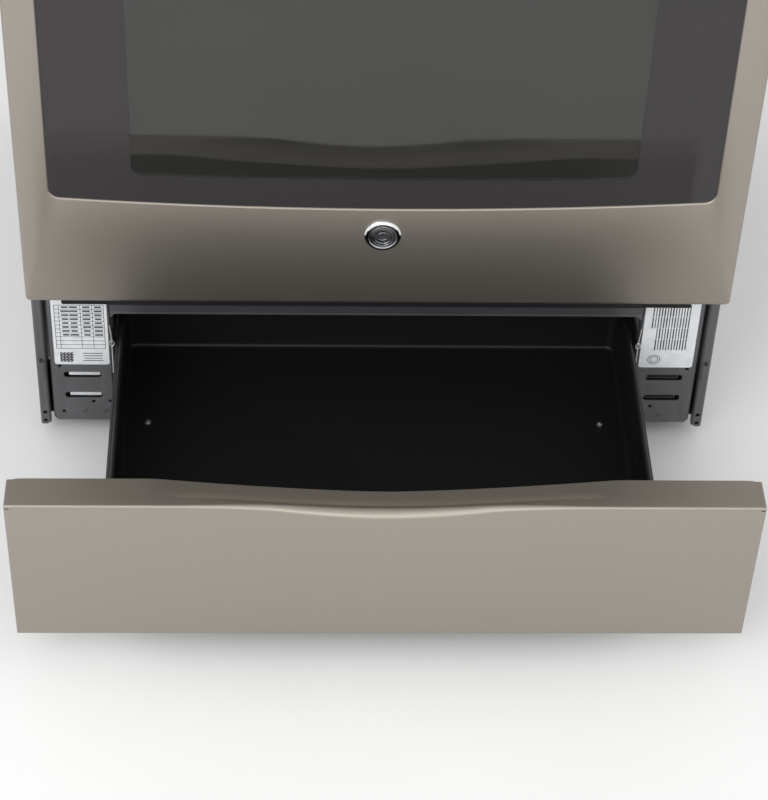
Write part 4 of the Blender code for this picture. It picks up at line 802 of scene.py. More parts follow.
# ---------------------------------------------------------------------------------------------------------
# Drawer
# ---------------------------------------------------------------------------------------------------------
def scoop_crease(x):
    """How far behind the face the scoop's crease lies: it sweeps back towards its ends."""
    s = sizes()
    return s.scoop_set_in + s.scoop_sweep * (abs(x) / s.scoop_half) ** 4


def lip_height(x, behind, top):
    """Height of the drawer's lip, where the finger scoop falls away behind its crease."""
    s = sizes()
    share = min(1.0, abs(x) / s.scoop_half)
    dip = s.fold_dip * math.cos(math.pi / 2 * min(1.0, abs(x) / (0.755 * s.scoop_half))) ** 2
    extra = max(0.0, s.scoop_depth * (1 - share**1.5) - dip)
    return top - dip - extra * (1 - math.exp(-max(0.0, behind - scoop_crease(x)) / s.scoop_ramp))


def drawer_section(x, top, bottom, reach, lip, inset):
    """Section of the drawer's front at x, as (distance behind the face, height)."""
    s = sizes()
    share = min(1.0, abs(x) / s.scoop_half)
    radius = s.fold_end + (s.fold_middle - s.fold_end) * math.cos(math.pi / 2 * share) ** 2
    middle = lip_height(x, radius, top) - radius
    foot, sheet, over, back = 0.0025, 0.0014, 3, 12
    path = [(reach, bottom)]
    path += [(foot * (1 - math.sin(t)), bottom + foot * (1 - math.cos(t))) for t in quarter(5)]
    path += [(radius * (1 - math.cos(t)), middle + radius * math.sin(t)) for t in quarter(8)]
    start = min(max(scoop_crease(x), radius + 0.0004), lip - 0.004)
    depths = [radius + (start - radius) * k / over for k in range(1, over + 1)]
    depths += [start + (lip - start) * (k / back) ** 1.6 for k in range(1, back + 1)]
    path += [(behind, lip_height(x, behind, top)) for behind in depths]
    return offset_path(path, -inset) + offset_path(path, -sheet)[::-1]


def round_drop(distance, radius):
    """How far a rounded edge has fallen away at this distance from its end."""
    past = max(0.0, radius - distance)
    return radius - math.sqrt(radius**2 - past**2)


def drawer_front():
    """The front with its lip, whose tips stand out past the face, with near-black painted shade under each
    tip for the seam.
    """
    (_, face, bottom), (half, back, top) = span("drawer_front")
    lip, edge, corner, overhang, foot = back - face, 0.0012, 0.007, 0.0011, 0.020
    tip_round, tip_step, tip_length, tip_height = 0.0022, 0.0015, 0.0095, 0.0045
    near = [half - edge * (1 - math.cos(t)) for t in quarter(4)]
    near += [half - corner * k / 6 for k in range(2, 7)]
    xs = sorted(evenly(half - corner * 1.3, 91) + near + [-x for x in near])
    rings = []
    for x in xs:
        distance = half - abs(x)
        step = tip_step * min(1.0, max(0.0, (tip_length - distance) / edge))
        reach = lip - step - round_drop(distance, tip_round)
        section = drawer_section(x, top, bottom, foot, reach, round_drop(distance, edge))
        narrow = math.copysign(min(abs(x), half - overhang), x)
        rings.append([(x if z > top - tip_height else narrow, at(face + behind), z) for behind, z in section])
    shape = Shape().add(*lofted(rings))
    end = rectangle(face + edge, face + lip - corner, bottom + edge, top - 0.0024)
    for _, sign in SIDES:
        outer = sign * (half - overhang)
        shape.extrude(round_loop(end, 0.001, 3), "X", outer, outer - sign * 0.0014)
        # Near-black painted shade on the face under the tip, standing for the shade in the seam.
        seam = rectangle(half - 0.0048, half - overhang - 0.0002, top - 0.0048, top - 0.0037)
        shape.extrude(sided(seam, sign), "Y", face - 0.00012, face + 0.0012, 1)
    piece = shape.piece("drawer_front_panel", ["slate_steel", "painted_shade"], bend=40)
    settle(piece, "drawer", "slate_steel", "drawer_front")


def drawer_pan():
    """The pan with its hemmed rim, a crease pressed into each side, and its screws."""
    (_, front, bottom), (half, back, top) = span("drawer_pan")
    sheet, hem, roll, fillet, corner = 0.0012, 0.0048, 0.0024, 0.006, 0.012
    under = top - 0.009
    route = [(fillet * (1 - math.sin(t)), bottom + fillet * (1 - math.cos(t))) for t in quarter(4)]
    route += [(roll * (1 - math.cos(2 * t)), top - roll + roll * math.sin(2 * t)) for t in quarter(8)]
    route += [(hem, under + 0.0005), (hem - 0.0006, under), (sheet + 0.0004, under), (sheet, under - 0.0002)]
    inner = fillet - sheet
    floor = bottom + sheet
    route += [(sheet + inner * (1 - math.cos(t)), floor + inner * (1 - math.sin(t))) for t in quarter(4)]
    rings = []
    for inset, height in route:
        corners = rectangle(inset - half, half - inset, front + inset, back - inset)
        loop = round_loop(corners, max(0.003, corner - inset), 6)
        rings.append([(x, at(d), height) for x, d in loop])
    shape = Shape().add(*lofted(rings))
    spots = []
    for _, sign in SIDES:
        crease = round_loop(rectangle(-0.155, -0.149, floor + 0.02, top - 0.022), 0.0028, 4)
        shape.extrude(crease, "X", sign * (half - sheet - 0.0009), sign * (half - sheet / 2))
        spots += [(sign * 0.2545, d, floor, (0, 0, 1)) for d in (front + 0.05, -0.037)]
        spots += [(sign * x, back - sheet, top - 0.030, (0, -1, 0)) for x in (0.258, 0.232)]
    settle(shape.piece("drawer_pan_box", ["black_enamel"], bend=35), "drawer", "black_enamel", "drawer_pan")
    screws("drawer_pan_screws", "drawer", spots)


def drawer_rails():
    (inner, front, low), (outer, back, high) = span("drawer_rail_right")
    path = [(outer, high), (inner, high), (inner, low), (outer, low)]
    shape = Shape().extrude(folded(path, 0.0015, 0.0008), "Y", front, back).mirror()
    piece = shape.piece("drawer_rails", ["crossbar_paint"], edge=0.0002)
    settle(piece, "drawer", "dark_paint", "drawer_rail_left", "drawer_rail_right")


# ---------------------------------------------------------------------------------------------------------
# Chassis
# ---------------------------------------------------------------------------------------------------------
def side_panels():
    s = sizes()
    (inner, front, low), (half, back, high) = span("side_panel_right")
    flange, fold = half - 0.0114, 0.010
    path = [(flange, fold), (flange, front), (half, front), (half, back), (half - 0.022, back)]
    legs = (0.065, 0.560)
    for side, sign in SIDES:
        shape = Shape()
        shape.extrude(sided(folded(path, s.sheet, s.bend), sign), "Z", low, high)
        for spot in legs:
            foot = round_loop(rectangle(inner, half - 0.0008, spot - 0.045, spot + 0.045), 0.006, 4)
            shape.extrude(sided(foot, sign), "Z", low, low + s.sheet)
        middle = (flange + half) / 2
        cutters = []
        for height in (0.0245, 0.0370):
            cutters.append(("Y", circle(0.0026, 20, (sign * middle, height)), front - 0.004, front + 0.004))
        for spot in legs:
            hole = circle(0.0054, 24, (sign * (half - 0.0264), spot))
            cutters.append(("Z", hole, low - 0.003, low + 0.004))
        corner = [(flange - 0.001, low - 0.001), (flange + 0.005, low - 0.001), (flange - 0.001, low + 0.005)]
        cutters.append(("Y", sided(corner, sign), front - 0.003, front + 0.0022))
        panel = shape.piece("chassis_side_" + side, ["chassis_paint"], edge=s.edge, cutters=cutters)
        settle(panel, "range_body", "grey_paint", "side_panel_" + side)
        tab = Shape()
        loop = round_loop(rectangle(sign * middle - 0.0036, sign * middle + 0.0036, 0.090, 0.117), 0.0030, 5)
        tab.extrude(loop, "Y", front - 0.0018, front + 0.0008)
        # The dark spot at the top of the tab is painted shade standing for the slit there.
        dark = round_loop(rectangle(sign * middle - 0.002, sign * middle + 0.002, 0.1145, 0.1185), 0.0015, 3)
        tab.extrude(dark, "Y", front - 0.0019, front + 0.0004, 1)
        # A near-black sheet behind the flange's lower holes is painted shade, so that they look dark rather
        # than showing the floor.
        behind = rectangle(flange + 0.0018, half - 0.0018, low + 0.0005, 0.042)
        tab.extrude(sided(behind, sign), "Y", front + s.sheet + 0.0010, front + s.sheet + 0.0016, 1)
        piece = tab.piece("flange_tab_" + side, ["chassis_paint", "painted_shade"], edge=0.0005)
        settle(piece, "range_body", "grey_paint")


def front_plates():
    s = sizes()
    slots = (0.0605, 0.0915)
    holes = {"left": ((0.3174, 0.0506), (0.2985, 0.0512), (0.3517, 0.0352), (0.3528, 0.1052)),
             "right": ((0.3166, 0.0470), (0.3518, 0.0310), (0.3528, 0.1052))}
    dimples = {"left": ((0.3278, 0.036), (0.305, 0.036)), "right": ((0.3274, 0.033),)}
    (inner, front, low), (outer, back, high) = span("front_plate_right")
    path = [(inner, back), (inner, front), (outer, front), (outer, back)]
    for side, sign in SIDES:
        shape = Shape().extrude(sided(folded(path, s.sheet, s.bend), sign), "Z", low, high)
        through = (front - 0.003, front + 0.0045)
        cutters = []
        below = rectangle(inner - 0.002, inner + 0.0027, low - 0.002, 0.156)
        cutters.append(("Y", sided(below, sign), front + 0.0024, back + 0.002))
        corner = [(outer - 0.006, low - 0.001), (outer + 0.001, low - 0.001), (outer + 0.001, low + 0.006)]
        cutters.append(("Y", sided(corner, sign), front - 0.002, back + 0.002))
        for x, height in holes[side]:
            cutters.append(("Y", circle(0.0022, 20, (sign * x, height)), *through))
        for height in slots:
            slot = round_loop(rectangle(0.307, 0.349, height - 0.0044, height + 0.0044), 0.0035, 5)
            cutters.append(("Y", sided(slot, sign), *through))
        plate = shape.piece("chassis_plate_" + side, ["chassis_paint"], edge=s.edge, cutters=cutters)
        settle(plate, "range_body", "grey_paint", "front_plate_" + side)
        marks = Shape()
        for x, height in dimples[side]:
            face = facing(sign * x, front, height)
            ring = [(0.0019, -0.0004), (0.0021, 0.0006), (0.0029, 0.0007), (0.0035, 0.0002)]
            ring.append((0.0036, -0.0004))
            marks.turn(ring, 24, face, closed=True)
            # The sunken centre of each dimple takes the darker crossbar paint as painted shade in the hollow.
            marks.turn([(0, -0.0003), (0.0020, -0.0003), (0.0020, 0.00012), (0, 0.00012)], 20, face, 1)
            marks.turn([(0, 0.0001), (0.0009, 0.0001), (0.0007, 0.0006), (0, 0.0007)], 16, face)
        dots = marks.piece("plate_dimples_" + side, ["chassis_paint", "crossbar_paint"])
        settle(dots, "range_body", "grey_paint")
        strip = Shape()
        # Pale strips behind the left slots are painted light seen through them; on the right the strips are
        # near-black painted shade.
        for height in slots:
            lance = round_loop(rectangle(0.3085, 0.3435, height - 0.0030, height + 0.0040), 0.0010, 3)
            strip.extrude(sided(lance, sign), "Y", front + 0.0030, front + 0.0042, 0 if sign < 0 else 1)
        # The sheet behind the plate is near-black painted shade for the slots and holes.
        shield = rectangle(inner + 0.0035, outer - 0.0030, low + 0.0030, 0.1090)
        strip.extrude(sided(shield, sign), "Y", front + 0.0070, front + 0.0080, 1)
        piece = strip.piece("slot_backing_" + side, ["label_paper", "painted_shade"], edge=0.0002)
        settle(piece, "range_body", "zinc")


def crossbar():
    s = sizes()
    (_, proud, _), (half, ledge, top) = span("lower_crossbar")
    inside = span("front_plate_right")[0][0] - 0.0004
    step, groove, bottom, low_face = 0.2015, 0.1880, 0.1822, 0.0036
    path = [(ledge, top), (proud, top), (proud, step), (0, step - 0.0015), (0, groove + 0.0015)]
    path += [(low_face, groove), (low_face, bottom), (ledge, bottom)]
    shape = Shape().extrude(folded(path, s.sheet, 0.0007), "X", -inside, inside)
    for _, sign in SIDES:
        tab = rectangle(inside - 0.010, half, step + 0.0019, top - 0.0004)
        tab = round_loop(tab, (0.0005, 0.002, 0.004, 0.0005), 4)
        # The tabs at the bar's ends are near-black painted shade, for the shade under the door.
        shape.extrude(sided(tab, sign), "Y", proud + 0.0002, proud + 0.0020, 1)
        # So is the narrow strip at each end of the bar: near-black painted shade.
        lip = rectangle(half - 0.0016, half - 0.0002, step + 0.006, top - 0.004)
        shape.extrude(sided(lip, sign), "Y", proud + 0.0010, low_face, 1)
        gusset = [(inside, bottom + 0.003), (inside, bottom - 0.0045), (inside - 0.0075, bottom + 0.003)]
        shape.extrude(sided(gusset, sign), "Y", low_face + 0.0002, low_face + 0.0015)
    piece = shape.piece("crossbar_rail", ["crossbar_paint", "painted_shade", "chassis_paint"], edge=s.edge)
    # Painted shade and highlight: faces above the step take the near-black painted shade of the door's
    # overhang, and the fold below the groove takes the paler chassis paint as a painted highlight where it
    # faces the light.
    for face in piece.data.polygons:
        if face.center.z > step + 0.0045:
            face.material_index = 1
        elif face.center.z < groove + 0.0004:
            face.material_index = 2
    settle(piece, "range_body", "dark_paint", "lower_crossbar")


def labels():
    """Blank rating labels with printed rules: a table on one side, lines of turned print on the other."""
    s = sizes()
    face = span("front_plate_right")[0][1]
    low, high, inner, outer = s.label_bottom, 0.2430, 0.2970, 0.3580

    def ink(name, spots, width, height, *uneven):
        points = [(x, at(face - 0.00018), z) for x, z in spots]
        size = (width, height, 0.0001)
        strips(name, "range_body", "grey_paint", "label_ink", points, (0, -1, 0), size, *uneven)

    for side, sign in SIDES:
        loop = round_loop(rectangle(inner, outer, low, high), (0.003, 0.003, 0.006, 0.001), 5)
        paper = Shape().extrude(sided(loop, sign), "Y", face - 0.00016, face + 0.0001)
        settle(paper.piece("rating_label_" + side, ["label_paper"]), "range_body", "grey_paint")
        if sign < 0:
            table = low + 0.024
            rows = [table + 0.0058 * row for row in range(12)]
            ink("label_rules_" + side, [(sign * (inner + outer) / 2, z) for z in rows], 0.054, 0.0006)
            columns = (0.3005, 0.3130, 0.3260, 0.3495, 0.3545)
            posts = [(sign * x, (rows[0] + rows[-1]) / 2) for x in columns]
            ink("label_columns_" + side, posts, 0.0006, rows[-1] - rows[0])
            words = [(sign * x, z + 0.0029) for z in rows[3:-1] for x in (0.3067, 0.3195, 0.3335, 0.3430)]
            ink("label_words_" + side, words, 0.0100, 0.0024, 0.35, 4)
            pitch, count = 0.0013, 11
            kept = [(a, b) for a in range(count) for b in range(count) if (a * 7 + b * 5 + a * b) % 3]
            code = [(sign * (0.3375 + pitch * a), low + 0.0045 + pitch * b) for a, b in kept]
            ink("label_code_" + side, code, 0.0014, 0.0014)
            notes = [(sign * 0.3150, low + 0.0060 + 0.0036 * k) for k in range(4)]
            ink("label_notes_" + side, notes, 0.024, 0.0010, 0.6, 3)
            continue
        lines = []
        for k in range(14):
            start = low + 0.034 + 0.001 * (k % 2)
            lines += [(inner + 0.0095 + 0.0031 * k, start + 0.0165 * step) for step in range(4)]
        upright = [(x, z) for x, z in lines if x > 0.3100 or z > low + 0.060]
        ink("label_words_" + side, upright, 0.0016, 0.0158, 0.35, 7)
        mark = Shape()
        place = facing(0.3135, face - 0.00018 + 0.0001, low + 0.0120)
        for radius in (0.0072, 0.0048):
            ring = [(radius - 0.0008, 0), (radius, 0), (radius, 0.00012), (radius - 0.0008, 0.00012)]
            mark.turn(ring, 40, place, closed=True)
        settle(mark.piece("label_ring_" + side, ["label_ink"]), "range_body", "grey_paint")


def slides():
    """Guide strips on the body, with the looped hook at their front ends, and the rollers on their pins."""
    for side, sign in SIDES:
        (_, front, low), (_, back, high) = span("drawer_guide_" + side)
        web, spring = 0.2927, 0.2925
        shape = Shape()
        strip = round_loop(rectangle(0.2918, 0.2936, low, high), 0.0007, 3)
        shape.extrude(sided(strip, sign), "Y", front, back)
        foot = rectangle(0.2932, 0.3076, low + 0.0015, high - 0.0015)
        shape.extrude(sided(foot, sign), "Y", back - 0.028, back - 0.0015)
        pin = Matrix.Translation((sign * web, at(0.030), 0.1086))
        pin @= Matrix.Rotation(-sign * math.pi / 2, 4, "Y")
        profile = [(0, 0), (0.0025, 0), (0.0025, 0.0080), (0.0020, 0.0082), (0, 0.0082)]
        shape.turn(profile, 20, pin)
        hook = [(sign * web, at(0.0012), high - 0.004), (sign * web, at(-0.0005), high + 0.004)]
        hook += [(sign * 0.2934, at(-0.0008), high + 0.012), (sign * 0.2942, at(0.0004), high + 0.019)]
        shape.tube(hook, 0.0011, 10)
        shape.tube([(sign * spring, at(0.0), low + 0.002), (sign * spring, at(-0.0006), high)], 0.0009, 8)
        turns = [2 * math.pi * k / 16 for k in range(16)]
        eye = [(spring + 0.0025 * math.cos(t), high - 0.006 + 0.004 * math.sin(t)) for t in turns]
        shape.tube([(sign * x, at(-0.001), z) for x, z in eye], 0.0008, 8, closed=True)
        settle(shape.piece("slide_" + side, ["zinc_plate"]), "range_body", "zinc", "drawer_guide_" + side)
        (first, near, below), (last, _, above) = span("guide_roller_" + side)
        radius, width = (above - below) / 2, last - first
        place = Matrix.Translation((first, at(near + radius), below + radius))
        place @= Matrix.Rotation(math.pi / 2, 4, "Y")
        groove = [(0.0029, 0), (radius - 0.0006, 0), (radius, 0.0006), (radius, width - 0.0006)]
        groove += [(radius - 0.0006, width), (0.0029, width)]
        wheel = Shape().turn(groove, 40, place, closed=True)
        name = "guide_roller_" + side
        settle(wheel.piece("slide_roller_" + side, ["nylon"]), name, "nylon", name)


def legs():
    for name in ("front_left", "front_right", "rear_left", "rear_right"):
        node = "leg_" + name
        (left, near, _), (right, _, top) = span(node)
        centre = Vector(((left + right) / 2, at(near + (right - left) / 2), 0))
        place = Matrix.Translation(centre)
        radius = (right - left) / 2
        pad = [(0, 0), (radius - 0.002, 0), (radius, 0.0015), (radius - 0.0006, 0.003)]
        pad += [(radius - 0.004, 0.0068), (0.008, 0.0080), (0.0048, 0.0094)]
        pad += [(0.0046, top - 0.0006), (0.0040, top), (0, top)]
        shape = Shape().turn(pad, 48, place)
        nut = Matrix.Translation(centre + Vector((0, 0, 0.0121)))
        flats = [(0, 0), (0.0088, 0), (0.0100, 0.0008), (0.0100, 0.0057), (0.0088, 0.0065), (0, 0.0065)]
        shape.turn(flats, 6, nut)
        settle(shape.piece("levelling_" + node, ["zinc_plate"], edge=0.0003), node, "zinc", node)
        values = {"Radius": 0.0050, "Pitch": 0.00125, "Turns": 26}
        thread = grow("thread_" + node, thread_tree(), [centre + Vector((0, 0, 0.0192))], values)
        settle(thread, node, "zinc")


def rear_panel():
    (left, front, low), (right, back, high) = span("rear_panel")
    shape = Shape().extrude(round_loop(rectangle(left, right, low, high), 0.004, 4), "Y", front, back)
    opening = round_loop(rectangle(0.160, 0.300, 0.060, 0.150), 0.012, 6)
    cutters = [("Y", opening, front - 0.01, back + 0.01)]
    piece = shape.piece("back_sheet", ["zinc_plate"], edge=0.0003, cutters=cutters)
    settle(piece, "range_body", "zinc", "rear_panel")
    # The louvres are near-black strips laid on the sheet: painted shade for their openings.
    slots = [(x, at(back - 0.0001), 0.80 - 0.016 * k) for x in (-0.20, 0.0, 0.20) for k in range(8)]
    aim, size = (0, 1, 0), (0.11, 0.005, 0.0002)
    strips("back_louvres", "range_body", "dark_paint", "painted_shade", slots, aim, size)
    heights = [low + 0.02 + 0.118 * k for k in range(8)]
    spots = [(sign * (right - 0.010), back - 0.0042, z, aim) for _, sign in SIDES for z in heights]
    screws("back_screws", "range_body", spots)


# ---------------------------------------------------------------------------------------------------------
# Door
# ---------------------------------------------------------------------------------------------------------
def door_loop(inset, behind, radius):
    """Ring of the door's outline, set in by this much at its foot and half as much at its sides and top."""
    (_, face, low), (half, _, high) = span("door_skin")
    side = inset * 0.5
    loop = window_loop(half - side, low + inset, high - side, radius)
    return [(x, at(face + behind), z) for x, z in loop]


def pane_loop(spread, behind):
    """Ring round the door's window opening, this much outside it."""
    face = span("door_skin")[0][1]
    loop = window_loop(0.344 + spread, 0.384 - spread, 0.690 + spread, 0.011 + spread, 0.0116, 0.006)
    return [(x, at(face + behind), z) for x, z in loop]


def door_skin():
    s = sizes()
    (_, face, low), (_, back, _) = span("door_skin")
    sheet, edge, roll = 0.0013, 0.006, s.window_roll
    depth_back = back - face
    rings = [pane_loop(roll * (1 - math.cos(t)), roll * (1 - math.sin(t))) for t in quarter(5)]
    rings += [door_loop(edge * (1 - math.sin(t)), edge * (1 - math.cos(t)), 0.005) for t in quarter(6)]
    rings += [door_loop(0, depth_back - 0.0004, 0.005), door_loop(0.0004, depth_back, 0.005)]
    hem, inner = sheet * 2, edge - sheet
    rings += [door_loop(hem - 0.0004, depth_back, 0.005), door_loop(hem, depth_back - 0.0004, 0.005)]
    for t in quarter(4):
        rings.append(door_loop(hem + inner * (1 - math.cos(t)), sheet + inner * (1 - math.sin(t)), 0.005))
    rings += [pane_loop(roll + 0.001, sheet), pane_loop(roll, roll)]
    shape = Shape().add(*lofted(rings, closed=True))
    cutters = []
    for _, sign in SIDES:
        notch = rectangle(face + 0.0042, back + 0.01, low - 0.01, 0.2575)
        cutters.append(("X", notch, sign * 0.338, sign * 0.350))
    piece = shape.piece("door_face", ["slate_steel"], bend=40, cutters=cutters)
    settle(piece, "oven_door", "slate_steel", "door_skin")


def door_glass():
    """Outer glass: a printed border round the clear part. Inner glass: one plain sheet."""
    s = sizes()
    (_, front, _), (half, back, _) = span("door_glass")

    def border(spread, behind):
        loop = window_loop(half + spread, 0.374 - spread, 0.700 + spread, 0.011, 0.0116, 0.006)
        return [(x, at(behind), z) for x, z in loop]

    def clear(spread, behind):
        low, high = s.window_low - spread, s.window_high + spread
        loop = window_loop(s.window_half + spread, low, high, 0.010, 0.0043, 0.003)
        return [(x, at(behind), z) for x, z in loop]

    rings = [clear(0, front), border(-0.0004, front), border(0, front + 0.0004)]
    rings += [border(0, back), clear(0, back)]
    shape = Shape().add(*lofted(rings, closed=True))
    pane = [clear(-0.0001, front + 0.00005), clear(-0.0001, back - 0.00005)]
    shape.add(*lofted(pane), 1)
    settle(shape.piece("door_window", ["frit_glass", "window_glass"]), "oven_door", "glass", "door_glass")
    (_, near, base), (side, far, top) = span("door_inner_glass")
    loop = round_loop(rectangle(-side, side, base, top), 0.011, 5)
    inner = Shape().extrude(loop, "Y", near, far).piece("door_inner_window", ["window_glass"], edge=0.0005)
    settle(inner, "oven_door", "glass", "door_inner_glass")


def badge():
    (_, _, low), (radius, back, high) = span("door_badge")
    place = facing(0, back, (low + high) / 2)
    ring = [(radius - 0.0050, 0), (radius, 0), (radius, 0.0012), (radius - 0.0004, 0.0018)]
    ring += [(radius - 0.0016, 0.0028), (radius - 0.0032, 0.0033)]
    ring += [(radius - 0.0042, 0.0031), (radius - 0.0048, 0.0022)]
    shape = Shape().turn(ring, 96, place, closed=True)
    edge = radius - 0.0046
    disc = [(0, 0.0004), (edge, 0.0004), (edge, 0.0020), (0.0098, 0.0024), (0.0094, 0.0021), (0, 0.0023)]
    shape.turn(disc, 96, place, 1)
    for r in (0.0046, 0.0090, 0.0118):
        fine = [(r, 0.0018), (r + 0.0007, 0.0018), (r + 0.0006, 0.0026), (r + 0.0001, 0.0026)]
        shape.turn(fine, 72, place, closed=True)
    settle(shape.piece("badge", ["chrome", "badge_enamel"], edge=0), "oven_door", "chrome", "door_badge")


def handle():
    (_, front, low), (half, back, high) = span("door_handle")
    height, radius, bow = (low + high) / 2, (high - low) / 2 - 0.0002, 0.004
    centre = front + radius + bow
    steps = 40
    xs = [(half - radius * 0.5) * (2 * step / steps - 1) for step in range(steps + 1)]
    route = [(x, at(centre - bow * (1 - (x / half) ** 2)), height) for x in xs]
    dome = [(half - radius * 0.5 * (1 - math.sin(t)), max(0.02, math.cos(t))) for t in quarter(6)[1:]]
    ends = [(x, at(centre - bow * (1 - (x / half) ** 2)), height) for x, _ in dome]
    closing = [radius * size for _, size in dome]
    radii = closing[::-1] + [radius] * len(route) + closing
    line = [(-x, y, z) for x, y, z in reversed(ends)] + route + ends
    shape = Shape().tube(line, radii, 28)
    for _, sign in SIDES:
        x = sign * 0.322
        steps = ((0.013, 0.0108, 0.0100, centre), (0.015, 0.0112, 0.0108, back - 0.003))
        for wide, tall, corner, end in steps:
            foot = round_loop(rectangle(x - wide, x + wide, height - tall, height + tall), corner, 7)
            shape.extrude(foot, "Y", back, end)
    settle(shape.piece("handle", ["slate_steel"], edge=0.0006), "oven_door", "slate_steel", "door_handle")


def door_inside():
    eased_copy("door_liner", "oven_enamel", "black_enamel", 0.0007)
    for side, _ in SIDES:
        eased_copy("door_hinge_" + side, "zinc_plate", "zinc", 0.0004)
    _, (_, back, high) = span("door_liner")
    spots = [(x, back, high - 0.009, (0, 1, 0)) for x in (-0.300, -0.150, 0.0, 0.150, 0.300)]
    screws("door_screws", "oven_door", spots)


# ---------------------------------------------------------------------------------------------------------
# Oven
# ---------------------------------------------------------------------------------------------------------
def oven():
    eased_copy("oven_liner", "oven_enamel", "black_enamel", 0.0005)
    eased_copy("oven_floor_panel", "oven_enamel", "black_enamel", 0.0005)
    for name in ("bake_burner", "broil_burner"):
        (_, near, low), (right, back, high) = span(name)
        radius = (high - low) / 2
        half, front, height = right - radius, near + radius, (low + high) / 2
        corners = [(-half, back), (-half, front), (half, front), (half, back)]
        loop = round_path(corners, (0, 0.045, 0.045, 0), 10)
        route = [(x, at(d), height) for x, d in loop]
        tube = Shape().tube(route, radius, 20).piece(name + "_tube", ["burner_tube"])
        settle(tube, "range_body", "aluminium", name)
        # The ports are near-black patches on the tube: painted shade for the holes.
        points = [(x, at(front - radius * 0.86), height + radius * 0.5) for x in evenly(0.9 * half, 25)]
        aim, size = (0, -0.86, 0.5), (0.0022, 0.0022, 0.0008)
        strips(name + "_ports", "range_body", "aluminium", "painted_shade", points, aim, size)
    loop = window_loop(0.325, 0.255, 0.748, 0.030)
    gasket = Shape().tube([(x, at(-0.0028), z) for x, z in loop], sizes().gasket / 2, 12, closed=True)
    settle(gasket.piece("door_gasket", ["braid"]), "range_body", "dark_paint")


def racks():
    for name in ("oven_rack_lower", "oven_rack_upper"):
        (_, front, low), (half, back, high) = span(name)
        rod = (high - low) / 2 - 0.0001
        height = low + rod + 0.0001
        shape = Shape()
        loop = round_loop(rectangle(-half + rod, half - rod, front + rod, back - rod), 0.014, 6)
        shape.tube([(x, at(d), height) for x, d in loop], rod, 14, closed=True)
        for share in (0.33, 0.67):
            d = front + (back - front) * share
            shape.tube([(-half + rod, at(d), height), (half - rod, at(d), height)], rod * 0.75, 12)
        settle(shape.piece(name + "_frame", ["chrome"]), "range_body", "chrome", name)
        points = [(x, at((front + back) / 2), height) for x in evenly(half - 0.022, 23)]
        values = {"Radius": 0.0017, "Length": back - front - rod * 2}
        wires = grow(name + "_wires", rod_tree(), points, values)
        settle(wires, "range_body", "chrome")


# ---------------------------------------------------------------------------------------------------------
# Cooktop
# ---------------------------------------------------------------------------------------------------------
def cooktop():
    (_, front, low), (half, back, high) = span("cooktop")
    recess, edge, rim, sheet = high - 0.006, 0.004, 0.018, 0.002
    route = [(sheet, recess - sheet), (sheet, low), (0, low), (0, high - edge)]
    route += [(edge * (1 - math.cos(t)), high - edge + edge * math.sin(t)) for t in quarter(5)][1:]
    drop = (high - recess) / 2
    route += [(rim - drop + drop * math.sin(t), high - drop + drop * math.cos(t)) for t in quarter(4)]
    route += [(rim + drop * (1 - math.cos(t)), recess + drop * (1 - math.sin(t))) for t in quarter(4)[1:]]
    rings = []
    for inset, height in route:
        corners = rectangle(inset - half, half - inset, front + inset, back - inset)
        loop = round_loop(corners, max(0.006 - inset, 0.004) + inset * 0.8, 7)
        rings.append([(x, at(d), height) for x, d in loop])
    shape = Shape().add(*lofted(rings))
    for index in range(1, 5):
        (left, near, _), (right, _, _) = span(f"burner_head_{index}")
        radius = (right - left) / 2
        place = Matrix.Translation(((left + right) / 2, at(near + radius), recess))
        dish = [(0, -0.001), (radius + 0.016, -0.001), (radius + 0.013, 0.0003)]
        dish += [(radius + 0.002, 0.0004), (0, 0.0004)]
        shape.turn(dish, 64, place)
    piece = shape.piece("cooktop_pressing", ["black_enamel"], bend=35)
    settle(piece, "range_body", "black_enamel", "cooktop")


